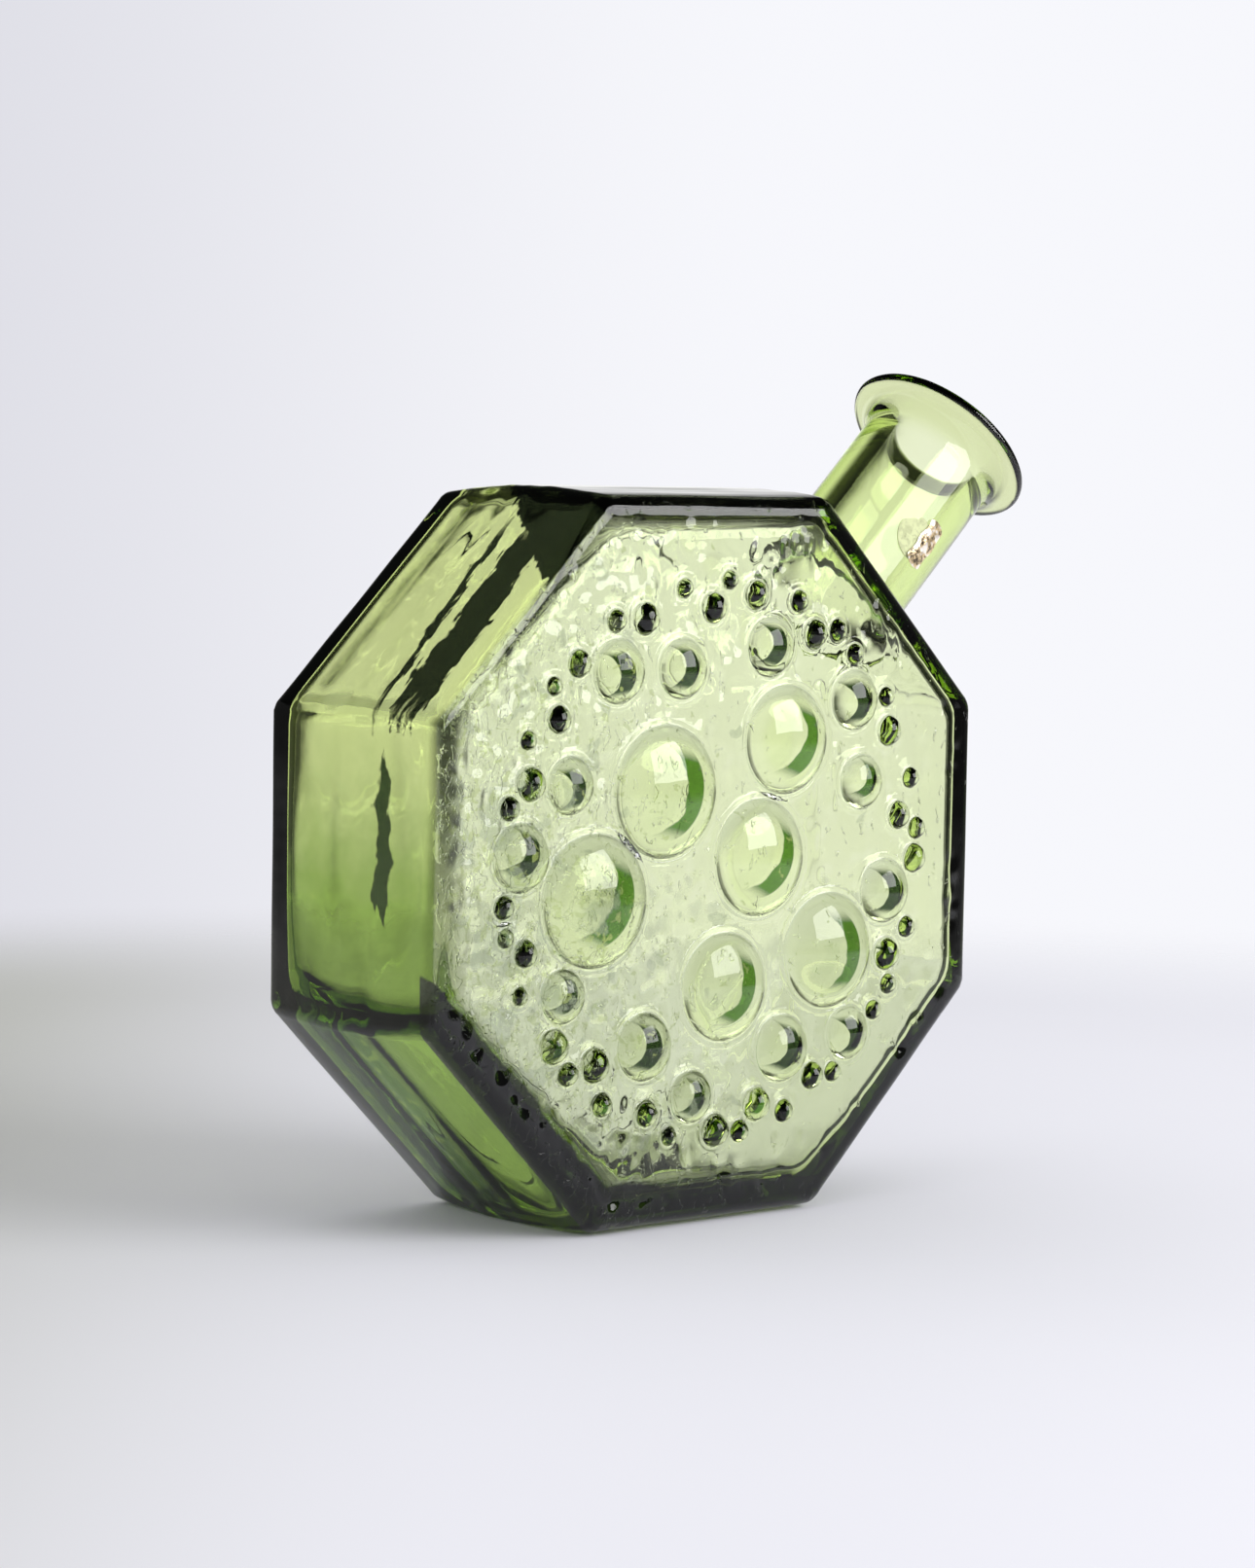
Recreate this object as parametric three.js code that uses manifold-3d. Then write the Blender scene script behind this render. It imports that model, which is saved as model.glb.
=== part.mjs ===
import * as THREE from "three";
import { mergeVertices } from "three/addons/utils/BufferGeometryUtils.js";
import Module from "manifold-3d";

// A mould-blown glass vase: a flat flask with eight equal sides that stands on one of them, with a
// slanted neck and a flared lip, a relief of round domes on its front face, and what is left of a
// paper and foil sticker on its neck. Millimetres, +Z up, front face towards -Y. The origin is the
// middle of the flat strip that the vase stands on.

const wasm = await Module();
wasm.setup();

// Body
const bodyWidth = 180; // across opposite sides, measured at the front and back faces
const bodyDepth = 66; // front face to back face
const seamRise = 2.3; // how far each side swells towards the mould seam at mid depth
const footRise = 1; // how far the standing strip reaches below the faces' lowest edges
const cornerRadius = 7; // between two sides
const edgeRadius = 4; // between a side and a face

// Glass thickness
const faceWall = 3.6;
const sideWall = 4.2;
const baseWall = 8.5;
const heelWall = 10; // the lower left side, where the glass ran together
const innerCornerRadius = 12;
const innerEdgeRadius = 3.5;

// Neck and lip, measured along the neck from the seam of the side that it grows out of
const neckDiameter = 38;
const neckWall = 4;
const neckLength = 58.5;
const neckShift = 2.2; // the neck's axis sits this much below the middle of its side
const neckRootRadius = 4;
const lipOverhang = 7;
const lipThickness = 3;
const lipUnderside = 7; // length of the hollow curve below the lip
const lipFlare = 9; // length of the flared mouth

// Relief of domes on the front face, large in the middle and small towards the edge
const reliefBorder = 14; // bare border between the outermost domes and the face's edge
const domeGap = 1.2; // least distance between the feet of two domes
const domeVariety = 0.12; // share by which domes of one kind differ in size
const largeDome = { count: 6, radius: 14.8, rise: 6, facets: 16, steps: 3 };
const mediumDome = { count: 13, radius: 7.6, rise: 3.6, facets: 10, steps: 2 };
const smallDome = { count: 18, radius: 3.9, rise: 2.8, facets: 7, steps: 2 };
const pearlDome = { count: 24, radius: 2.7, rise: 2.1, facets: 7, steps: 2 };

// Sticker remains on the neck
const stickerStation = 22; // along the neck, from the seam of its side to the sticker's middle
const stickerTurn = -4; // degrees round the neck, from its front towards its underside
const paperWidth = 12.5;
const paperLength = 14;
const foilWidth = 6;
const foilLength = 14.5;
const foilOffset = 3; // from the paper's middle line towards the underside
const stickerThickness = 0.25;
const stickerGap = 0.25;

// Fineness of the round forms
const cornerSteps = 3;
const edgeSteps = 3;
const neckSides = 32;
const sides = 8;

const sideAngle = (2 * Math.PI) / sides;
const faceReach = bodyWidth / 2;
const seamReach = faceReach + seamRise;
const centreHeight = faceReach + footRise;
const neckSlant = Math.PI / 4;
const neckRadius = neckDiameter / 2;
const boreRadius = neckRadius - neckWall;
const lipRadius = neckRadius + lipOverhang;
const heelSide = 5;
const baseSide = 6;

// Glass thickness behind each side, counted from the one that faces +X, turning towards +Z
function wallOf(side) {
  if (side === baseSide) {
    return baseWall;
  }
  return side === heelSide ? heelWall : sideWall;
}

// One eight-sided outline with round corners, in the XZ plane round the body's middle. reaches
// holds the distance of each side from the middle.
function outline(reaches, radius) {
  const points = [];
  for (let side = 0; side < sides; side += 1) {
    const start = side * sideAngle;
    const end = start + sideAngle;
    const near = reaches[side] - radius;
    const far = reaches[(side + 1) % sides] - radius;
    const cx = (near * Math.sin(end) - far * Math.sin(start)) / Math.sin(sideAngle);
    const cz = (far * Math.cos(start) - near * Math.cos(end)) / Math.sin(sideAngle);
    for (let step = 0; step <= cornerSteps; step += 1) {
      const angle = start + (sideAngle * step) / cornerSteps;
      points.push([cx + radius * Math.cos(angle), cz + radius * Math.sin(angle)]);
    }
  }
  return points;
}

// A closed skin over outlines of equal point count, laid from front to back
function loft(rings) {
  const count = rings[0].points.length;
  const positions = [];
  for (const ring of rings) {
    for (const [x, z] of ring.points) {
      positions.push(x, ring.y, centreHeight + z);
    }
  }
  const last = rings.length - 1;
  const frontMiddle = positions.length / 3;
  positions.push(0, rings[0].y, centreHeight);
  positions.push(0, rings[last].y, centreHeight);
  const index = [];
  for (let i = 0; i < count; i += 1) {
    const next = (i + 1) % count;
    for (let ring = 0; ring < last; ring += 1) {
      const here = ring * count;
      const there = here + count;
      index.push(here + i, there + i, here + next);
      index.push(here + next, there + i, there + next);
    }
    index.push(frontMiddle, i, next);
    index.push(frontMiddle + 1, last * count + next, last * count + i);
  }
  const geometry = new THREE.BufferGeometry();
  geometry.setAttribute("position", new THREE.Float32BufferAttribute(positions, 3));
  geometry.setIndex(index);
  return geometry;
}

// The outlines of a flask with rounded edges that swells to its seam, thinner than the outside by
// the given walls
function flaskRings(walls, faceInset, edge, corner) {
  const half = bodyDepth / 2 - faceInset;
  const ringAt = (y, inset) => {
    const swell = seamRise * (1 - Math.abs(y) / (bodyDepth / 2));
    const reaches = walls.map((wall) => faceReach + swell - wall - inset);
    return { y, points: outline(reaches, Math.max(corner - inset, corner / 4)) };
  };
  const front = [];
  for (let step = 0; step <= edgeSteps; step += 1) {
    const angle = ((Math.PI / 2) * step) / edgeSteps;
    front.push(ringAt(edge * (1 - Math.cos(angle)) - half, edge * (1 - Math.sin(angle))));
  }
  const back = front.map((ring) => ({ y: -ring.y, points: ring.points })).reverse();
  return [...front, ringAt(0, 0), ...back];
}

// Profile points along a quarter of an ellipse that turns from running up to running outwards
function flareCurve(fromRadius, fromStation, toRadius, toStation, steps) {
  const points = [];
  for (let step = 0; step <= steps; step += 1) {
    const angle = ((Math.PI / 2) * step) / steps;
    const radius = toRadius - (toRadius - fromRadius) * Math.cos(angle);
    const station = fromStation + (toStation - fromStation) * Math.sin(angle);
    points.push(new THREE.Vector2(radius, station));
  }
  return points;
}

// Turns a lathed form from its own upright axis onto the neck's axis
function ontoNeck(geometry) {
  geometry.rotateX(Math.PI / 2);
  geometry.rotateY(Math.PI / 2 - neckSlant);
  const along = neckShift * Math.sin(neckSlant);
  geometry.translate(along, 0, centreHeight - along);
  return geometry;
}

const lipStation = seamReach + neckLength;
const rimRadius = lipThickness / 2;
const rimCentre = lipRadius - rimRadius;

// The solid form of the neck and lip, rooted in the body. The hollow curve at its root starts where
// the side has fallen away from the seam to.
function neckForm() {
  const rootRadius = neckRadius + neckRootRadius;
  const rootStation = faceReach + seamRise * (1 - rootRadius / (bodyDepth / 2));
  const inWall = rootStation - sideWall / 2;
  const points = [new THREE.Vector2(0, inWall), new THREE.Vector2(rootRadius, inWall)];
  for (let step = 0; step <= edgeSteps; step += 1) {
    const angle = ((Math.PI / 2) * step) / edgeSteps;
    const radius = neckRadius + neckRootRadius * (1 - Math.sin(angle));
    points.push(new THREE.Vector2(radius, rootStation + neckRootRadius * (1 - Math.cos(angle))));
  }
  const underside = lipStation - lipThickness;
  points.push(...flareCurve(neckRadius, underside - lipUnderside, rimCentre, underside, 4));
  for (let step = 1; step <= 4; step += 1) {
    const angle = (Math.PI * step) / 4 - Math.PI / 2;
    const station = underside + rimRadius + rimRadius * Math.sin(angle);
    points.push(new THREE.Vector2(rimCentre + rimRadius * Math.cos(angle), station));
  }
  points.push(new THREE.Vector2(0, lipStation));
  return ontoNeck(new THREE.LatheGeometry(points, neckSides));
}

// The hollow of the neck, from inside the body to past the lip
function boreForm() {
  const root = faceReach - sideWall - innerCornerRadius;
  const points = [new THREE.Vector2(0, root), new THREE.Vector2(boreRadius, root)];
  points.push(...flareCurve(boreRadius, lipStation - lipFlare, rimCentre, lipStation, 4));
  points.push(new THREE.Vector2(rimCentre, lipStation + rimRadius));
  points.push(new THREE.Vector2(0, lipStation + rimRadius));
  return ontoNeck(new THREE.LatheGeometry(points, neckSides));
}

// A dome that rises from the front face, with its foot sunk into the glass
function domeForm(spot) {
  const { facets, steps } = spot.dome;
  const foot = -faceWall / 3;
  const points = [new THREE.Vector2(0, foot), new THREE.Vector2(spot.radius, foot)];
  for (let step = 0; step <= steps; step += 1) {
    const angle = ((Math.PI / 2) * step) / steps;
    const radius = step < steps ? spot.radius * Math.cos(angle) : 0;
    points.push(new THREE.Vector2(radius, spot.rise * Math.sin(angle)));
  }
  const geometry = new THREE.LatheGeometry(points, facets);
  geometry.rotateX(Math.PI);
  geometry.translate(spot.x, -bodyDepth / 2, centreHeight + spot.z);
  return geometry;
}

// Where the domes sit: wound outwards from the largest in a spiral of even turns, then pushed apart
// until none stands on another
function reliefSpots() {
  const fieldRadius = faceReach - edgeRadius - reliefBorder;
  const evenTurn = Math.PI * (3 - Math.sqrt(5));
  const spots = [];
  for (const dome of [largeDome, mediumDome, smallDome, pearlDome]) {
    for (let i = 0; i < dome.count; i += 1) {
      const size = 1 + domeVariety * Math.sin(i * 1.9);
      spots.push({ dome, x: 0, z: 0, radius: dome.radius * size, rise: dome.rise * size });
    }
  }
  const plot = (spot) => (spot.radius + domeGap) ** 2;
  const ground = spots.reduce((sum, spot) => sum + plot(spot), 0);
  let covered = 0;
  spots.forEach((spot, i) => {
    const distance = fieldRadius * Math.sqrt((covered + plot(spot) / 2) / ground);
    spot.x = distance * Math.cos(i * evenTurn);
    spot.z = distance * Math.sin(i * evenTurn);
    covered += plot(spot);
  });
  for (let pass = 0; pass < 60; pass += 1) {
    pushApart(spots);
    keepInside(spots, fieldRadius);
  }
  return spots;
}

// Moves each pair of domes that stand too close, the smaller one further than the larger
function pushApart(spots) {
  for (let i = 0; i < spots.length; i += 1) {
    for (let j = i + 1; j < spots.length; j += 1) {
      const [a, b] = [spots[i], spots[j]];
      const apart = Math.hypot(b.x - a.x, b.z - a.z);
      const short = a.radius + b.radius + domeGap - apart;
      if (short > 0) {
        const share = plotShare(a, b);
        const [dx, dz] = [(b.x - a.x) / apart, (b.z - a.z) / apart];
        a.x -= dx * short * (1 - share);
        a.z -= dz * short * (1 - share);
        b.x += dx * short * share;
        b.z += dz * short * share;
      }
    }
  }
}

// The part of a push that the second dome of a pair takes
function plotShare(a, b) {
  return a.radius ** 2 / (a.radius ** 2 + b.radius ** 2);
}

function keepInside(spots, fieldRadius) {
  for (const spot of spots) {
    const distance = Math.hypot(spot.x, spot.z);
    const limit = fieldRadius - spot.radius;
    if (distance > limit) {
      spot.x *= limit / distance;
      spot.z *= limit / distance;
    }
  }
}

function toSolid(geometry) {
  const bare = geometry.clone();
  bare.deleteAttribute("normal");
  bare.deleteAttribute("uv");
  const merged = mergeVertices(bare, 1e-4);
  const vertProperties = new Float32Array(merged.attributes.position.array);
  const triVerts = new Uint32Array(merged.index.array);
  return new wasm.Manifold(new wasm.Mesh({ numProp: 3, vertProperties, triVerts }));
}

function toGeometry(solid) {
  const mesh = solid.getMesh();
  const geometry = new THREE.BufferGeometry();
  geometry.setAttribute("position", new THREE.BufferAttribute(mesh.vertProperties, 3));
  geometry.setIndex(new THREE.BufferAttribute(mesh.triVerts, 1));
  geometry.computeVertexNormals();
  return geometry;
}

function glassMaterial() {
  return new THREE.MeshStandardMaterial({
    color: 0x9fc04a,
    roughness: 0.05,
    metalness: 0,
    transparent: true,
    opacity: 0.5,
  });
}

function paperMaterial() {
  return new THREE.MeshStandardMaterial({ color: 0xc3c69a, roughness: 0.9, metalness: 0 });
}

function foilMaterial() {
  return new THREE.MeshStandardMaterial({ color: 0xc9a86a, roughness: 0.3, metalness: 1 });
}

// The whole glass: flask, neck, lip and domes in one piece, hollow and open at the mouth
function glassVessel() {
  const outerWalls = new Array(sides).fill(0);
  const innerWalls = outerWalls.map((_, side) => wallOf(side));
  let glass = toSolid(loft(flaskRings(outerWalls, 0, edgeRadius, cornerRadius)));
  glass = glass.add(toSolid(neckForm()));
  for (const spot of reliefSpots()) {
    glass = glass.add(toSolid(domeForm(spot)));
  }
  const cavity = loft(flaskRings(innerWalls, faceWall, innerEdgeRadius, innerCornerRadius));
  glass = glass.subtract(toSolid(cavity)).subtract(toSolid(boreForm()));
  const below = new THREE.BoxGeometry(bodyWidth * 2, bodyDepth * 2, seamRise * 2);
  below.translate(0, 0, -seamRise);
  glass = glass.subtract(toSolid(below));
  return new THREE.Mesh(toGeometry(glass), glassMaterial());
}

// A thin sleeve round the neck, cut to the part of it that lies inside a flat outline. level
// counts the layers of the sticker from the glass outwards.
function stickerLayer(shape, level, material) {
  const inside = neckRadius + stickerGap + level * (stickerThickness + stickerGap);
  const outside = inside + stickerThickness;
  const middle = seamReach + stickerStation;
  const low = middle - foilLength;
  const high = middle + foilLength;
  const sleeve = new THREE.LatheGeometry(
    [
      new THREE.Vector2(inside, low),
      new THREE.Vector2(outside, low),
      new THREE.Vector2(outside, high),
      new THREE.Vector2(inside, high),
      new THREE.Vector2(inside, low),
    ],
    neckSides,
  );
  const cutter = new THREE.ExtrudeGeometry(shape, { depth: neckRadius * 2, bevelEnabled: false });
  cutter.rotateY(THREE.MathUtils.degToRad(stickerTurn));
  cutter.translate(0, middle, 0);
  const solid = toSolid(sleeve).intersect(toSolid(cutter));
  return new THREE.Mesh(ontoNeck(toGeometry(solid)), material);
}

// The paper backing: an oval with a torn upper edge
function labelPaper() {
  const shape = new THREE.Shape();
  const points = 28;
  for (let i = 0; i < points; i += 1) {
    const angle = (i / points) * 2 * Math.PI;
    const torn = Math.sin(angle) > 0.2 ? 0.09 * Math.sin(i * 2.9) - 0.06 : 0;
    const x = (paperWidth / 2) * (1 + torn) * Math.cos(angle);
    const y = (paperLength / 2) * (1 + torn) * Math.sin(angle);
    if (i === 0) {
      shape.moveTo(x, y);
    } else {
      shape.lineTo(x, y);
    }
  }
  shape.closePath();
  return stickerLayer(shape, 0, paperMaterial());
}

// The foil that still clings to the paper: a strip with a round lower end
function labelFoil() {
  const half = foilWidth / 2;
  const shape = new THREE.Shape();
  shape.moveTo(foilOffset + half, foilLength / 2 - half);
  shape.lineTo(foilOffset + half * 0.3, foilLength / 2);
  shape.lineTo(foilOffset - half * 0.6, foilLength / 2 - half * 0.5);
  shape.lineTo(foilOffset - half, half - foilLength / 2);
  shape.absarc(foilOffset, half - foilLength / 2, half, Math.PI, 2 * Math.PI, false);
  shape.closePath();
  return stickerLayer(shape, 1, foilMaterial());
}

function named(mesh, name) {
  mesh.name = name;
  return mesh;
}

const vase = new THREE.Group();
vase.add(named(glassVessel(), "glass_vessel"));
vase.add(named(labelPaper(), "label_paper"));
vase.add(named(labelFoil(), "label_foil"));

export default vase;
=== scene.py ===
import math
import random
from contextlib import contextmanager

import bpy
import numpy as np
from bpy.props import FloatProperty, FloatVectorProperty, IntProperty, PointerProperty
from mathutils import Matrix, Vector


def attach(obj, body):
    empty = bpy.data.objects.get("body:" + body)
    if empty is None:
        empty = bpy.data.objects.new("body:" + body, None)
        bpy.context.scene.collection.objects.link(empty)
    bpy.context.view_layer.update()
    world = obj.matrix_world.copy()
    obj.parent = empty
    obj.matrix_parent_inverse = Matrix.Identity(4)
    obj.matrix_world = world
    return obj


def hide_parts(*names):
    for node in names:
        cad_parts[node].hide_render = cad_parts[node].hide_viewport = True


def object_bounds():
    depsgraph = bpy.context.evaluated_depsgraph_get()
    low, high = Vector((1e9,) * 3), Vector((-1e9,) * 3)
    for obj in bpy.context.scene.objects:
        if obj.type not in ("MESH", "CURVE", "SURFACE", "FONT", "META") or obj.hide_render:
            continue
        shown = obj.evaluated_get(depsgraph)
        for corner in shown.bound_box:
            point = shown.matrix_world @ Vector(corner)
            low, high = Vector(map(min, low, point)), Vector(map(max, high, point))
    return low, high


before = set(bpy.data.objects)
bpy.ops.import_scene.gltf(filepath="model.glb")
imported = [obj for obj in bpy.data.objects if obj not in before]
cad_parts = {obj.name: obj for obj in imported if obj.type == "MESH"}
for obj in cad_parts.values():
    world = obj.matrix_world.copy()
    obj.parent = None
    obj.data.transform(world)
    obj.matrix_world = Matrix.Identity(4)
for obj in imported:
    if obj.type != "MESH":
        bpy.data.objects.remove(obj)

bl_info = {
    "name": "Octagonal Glass Vase",
    "version": (1, 0, 0),
    "blender": (4, 5, 0),
    "location": "3D View > Sidebar > Vase",
    "description": "Builds a mould-blown glass vase with a relief of domes over its packed solids",
    "category": "Add Mesh",
}

CAD_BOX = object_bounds()

# The sides of the octagon, counted from the right, seen from the front
SIDES = 8
SIDE_TURN = 2 * math.pi / SIDES
RIGHT_SIDE = 0
NECK_SIDE = 1
UPPER_LEFT_SIDE = 3
LEFT_SIDE = 4
HEEL_SIDE = 5
BASE_SIDE = 6
LOWER_RIGHT_SIDE = 7
NECK_SLANT = math.pi / 4
SWELL_POWER = 1.7

# The photograph's camera: place, then yaw, pitch and roll in degrees, lens in millimetres, and the
# level directions to its left and back to it
CAMERA_PLACE = (-0.7123, -0.8172, 0.189)
CAMERA_ANGLES = (41.03, 4.29, 0.99)
CAMERA_LENS = 98.396
LEFT = (-0.754, 0.656, 0)
TOWARDS_CAMERA = (-0.656, -0.754, 0)

# Each kind of dome: facets, steps and roundness, how far left its crescent of painted shade
# lies, and the least and most of how dark that is
DOME_KINDS = {
    "large": (52, 14, 0.58, 0, (0.3, 0.5)),
    "medium": (38, 10, 0.52, 0.25, (0.6, 1)),
    "small": (26, 8, 0.5, 0.5, (0, 1)),
    "pearl": (22, 7, 0.5, 0.5, (0, 1)),
}
DOME_LAYERS = ("dome_across", "dome_upward", "dome_shade")

# The rings round a dome's foot: how far outside it, and the height as a share of a low ridge's, which
# is itself a share of the dome's rise
RIDGE_RINGS = ((0.0013, 1), (0.0008, 0.1), (0.0003, 0.4))
RIDGE_SHARE = 0.00022 / 0.006
FOOT_REACH = 0.0019
FOOT_DEPTH = 0.0012
SPREAD_ROUNDS = 60

# Wave lengths of the glass in metres: along x, y and z, and for the drag marks along their side, across
# it and from one side to the next
SKIN_WAVES = (0.03, 0.02, 0.03)
INNER_WAVES = (0.05, 0.03, 0.05)
NECK_WAVES = (0.02, 0.02, 0.04)
DRAG_WAVES = (0.09, 0.009, 0.5)

# The neck's round forms: rings of each stretch, where the root's curve starts, how far the mouth turns
# outwards, and how far it runs on past the lip
ROOT_STEPS = 7
OUTSIDE_STEPS = 14
UNDERSIDE_STEPS = 9
LIP_STEPS = 10
BORE_STEPS = 12
FLARE_STEPS = 12
ROOT_START = 0.12
FLARE_TURN = math.radians(76)
FLARE_OVERRUN = 0.0004

# The sticker's remains: points across and along, how round the foil is, the waves along the torn top,
# the waves and creases of the sheets, and the bend up to which their skin is smooth
PAPER_POINTS = (60, 60)
FOIL_POINTS = (44, 96)
FOIL_ROUNDNESS = 0.45
TEAR_WAVES = (2.3, 5.1, 11, 23)
PAPER_WAVES = (0.002, 0.002, 0.002)
PAPER_RIPPLE = 0.00003
CREASES = 9
CREASE_WAVES = (0.0016, 0.005)
SMOOTH_BEND = math.radians(35)

# Where each row of random draws starts
SEEDS = {
    "skin": 3,
    "skin drag": 4,
    "inner": 8,
    "inner drag": 9,
    "neck": 5,
    "pebbles": 11,
    "crescents": 31,
    "tear": 21,
    "paper": 22,
    "creases": 5,
}

# Points closer than this are one
MERGE = 0.00002


# Settings that a user would change

def length(name, description, default):
    units = {"unit": "LENGTH", "subtype": "DISTANCE", "precision": 5}
    return FloatProperty(name=name, description=description, default=default, **units)


def span(name, description, default):
    units = {"unit": "LENGTH", "precision": 5, "size": len(default)}
    return FloatVectorProperty(name=name, description=description, default=default, **units)


def turning(name, description, degrees):
    default = math.radians(degrees)
    return FloatProperty(name=name, description=description, default=default, subtype="ANGLE")


def share(name, description, default):
    units = {"subtype": "FACTOR", "precision": 4}
    return FloatProperty(name=name, description=description, default=default, **units)


def number(name, description, default):
    return FloatProperty(name=name, description=description, default=default, precision=4)


def colour(name, description, default):
    units = {"subtype": "COLOR", "size": 3, "min": 0, "max": 1}
    return FloatVectorProperty(name=name, description=description, default=default, **units)


class FlaskSizes(bpy.types.PropertyGroup):
    """The flask and its glass"""

    body_width: length("Body width", "Across opposite sides, at the front and back faces", 0.180)
    body_depth: length("Body depth", "Front face to back face", 0.066)
    seam_rise: length("Seam rise", "How far each side swells towards the mould seam", 0.0023)
    foot_rise: length("Foot rise", "How far the standing strip reaches below the faces", 0.001)
    corner_radius: length("Corner radius", "Between two sides", 0.007)
    edge_radius: length("Edge radius", "Between a side and a face", 0.004)
    face_wall: length("Face wall", "Glass thickness of the front and back", 0.0036)
    side_wall: length("Side wall", "Glass thickness of the sides", 0.0042)
    base_wall: length("Base wall", "Glass thickness under the flask", 0.0042)
    heel_wall: length("Heel wall", "Glass thickness of the lower left side", 0.0075)
    left_wall: length("Left wall", "Glass thickness of the left side", 0.0055)
    inner_corner: length("Inner corner radius", "Between two sides, inside", 0.013)
    inner_edge: length("Inner edge radius", "Between a side and a face, inside", 0.0058)
    heel_fillet: length("Heel fillet", "How far the glass fills the corners of the base and heel", 0.003)
    gather: length("Gather", "How far the hollow sits towards the neck", 0.0008)
    follow: share("Follow", "Share of a dome's height that the inner skin follows", 0.5)
    front_step: length("Front fineness", "Spacing of the points on the front face", 0.001)
    inner_step: length("Inner fineness", "Spacing of the points inside", 0.0019)
    plain_step: length("Plain fineness", "Spacing of the points elsewhere", 0.0025)


class NeckSizes(bpy.types.PropertyGroup):
    """The slanted neck and its lip"""

    diameter: length("Neck diameter", "Outside", 0.038)
    wall: length("Neck wall", "Glass thickness of the neck", 0.0066)
    length: length("Neck length", "From the mould seam of its side to the lip", 0.0585)
    shift: length("Neck shift", "How far its axis sits below the middle of its side", 0.0022)
    root: length("Root radius", "Of the hollow curve between side and neck", 0.0045)
    lip_overhang: length("Lip overhang", "How far the lip stands out past the neck", 0.007)
    lip_thickness: length("Lip thickness", "Of the rounded rim", 0.003)
    lip_underside: length("Lip underside", "Length of the hollow curve below the lip", 0.007)
    lip_flare: length("Lip flare", "Length of the flared mouth", 0.0085)
    lip_edge: length("Lip edge", "How far the mouth stays inside the middle of the rim", 0.0003)
    funnel: length("Funnel", "Radius inside, where the hollow runs into the neck", 0.011)
    funnel_foot: length("Funnel foot", "How far the neck's hollow starts inside the flask's", 0.004)
    facets: IntProperty(name="Facets", description="Points round the neck", default=120)


class ReliefSizes(bpy.types.PropertyGroup):
    """The domes, pebbles and ripples of the glass"""

    border: length("Bare border", "Between the outermost domes and the face's edge", 0.014)
    gap: length("Dome gap", "Least distance between the feet of two domes", 0.0012)
    variety: share("Dome variety", "Share by which domes of one kind differ", 0.12)
    large_count: IntProperty(name="Large domes", description="How many", default=6)
    large_radius: length("Large radius", "At the foot", 0.0148)
    large_rise: length("Large rise", "Above the face", 0.006)
    medium_count: IntProperty(name="Medium domes", description="How many", default=13)
    medium_radius: length("Medium radius", "At the foot", 0.0076)
    medium_rise: length("Medium rise", "Above the face", 0.0046)
    small_count: IntProperty(name="Small domes", description="How many", default=18)
    small_radius: length("Small radius", "At the foot", 0.0039)
    small_rise: length("Small rise", "Above the face", 0.0034)
    pearl_count: IntProperty(name="Pearl domes", description="How many", default=24)
    pearl_radius: length("Pearl radius", "At the foot", 0.0027)
    pearl_rise: length("Pearl rise", "Above the face", 0.0025)
    pebble_count: IntProperty(name="Pebbles", description="Small marks of the front", default=900)
    pebble_width: span("Pebble width", "Least and most", (0.0009, 0.0016))
    pebble_height: length("Pebble height", "Of the small marks", 0.00034)
    ripple: length("Ripple height", "Of the slow waves in the glass", 0.00016)
    inner_ripple: length("Inner ripple height", "Of the slow waves inside", 0.0004)
    drag: length("Drag mark height", "Of the waves drawn out along the sides", 0.00025)


class StickerSizes(bpy.types.PropertyGroup):
    """What is left of the sticker on the neck"""

    station: length("Station", "Along the neck from the seam to the sticker's middle", 0.022)
    turn: turning("Turn", "Round the neck towards its underside", -4)
    paper_width: length("Paper width", "Round the neck", 0.0125)
    paper_length: length("Paper length", "Along the neck", 0.014)
    foil_width: length("Foil width", "Round the neck", 0.006)
    foil_length: length("Foil length", "Along the neck", 0.0145)
    foil_offset: length("Foil offset", "From the paper's middle towards the underside", 0.003)
    thickness: length("Thickness", "Of the paper", 0.00018)
    foil_thickness: share("Foil thickness", "As a share of the paper's", 0.6)
    paper_lift: length("Paper lift", "Of the paper off the neck", 0.00008)
    foil_lift: length("Foil lift", "Of the foil off the neck", 0.00042)
    tear: share("Tear", "How ragged the paper's top is", 0.34)
    crease: length("Crease", "Height of the foil's creases", 0.00028)


class VaseLook(bpy.types.PropertyGroup):
    """Colours of the vase"""

    glass_tint: colour("Glass tint", "What the depth of the glass lets through", (0.77, 0.9, 0.26))
    glass_density: number("Glass density", "How strongly the glass absorbs, per metre", 80)
    glass_index: number("Glass index", "Index of refraction", 1.5)
    paper: colour("Paper", "Worn sticker paper", (0.58, 0.62, 0.35))
    foil: colour("Foil", "Gold foil", (0.72, 0.55, 0.32))
    # Painted highlight: pale patches on the foil
    foil_highlit: colour("Rubbed foil", "Where the gold is rubbed pale", (1, 0.93, 0.86))
    # Near-black patches on the foil
    foil_dimmed: colour("Bare foil", "Where the gold has gone", (0.02, 0.012, 0.008))


# Most of these marks place painted shade, some painted reflection
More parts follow.
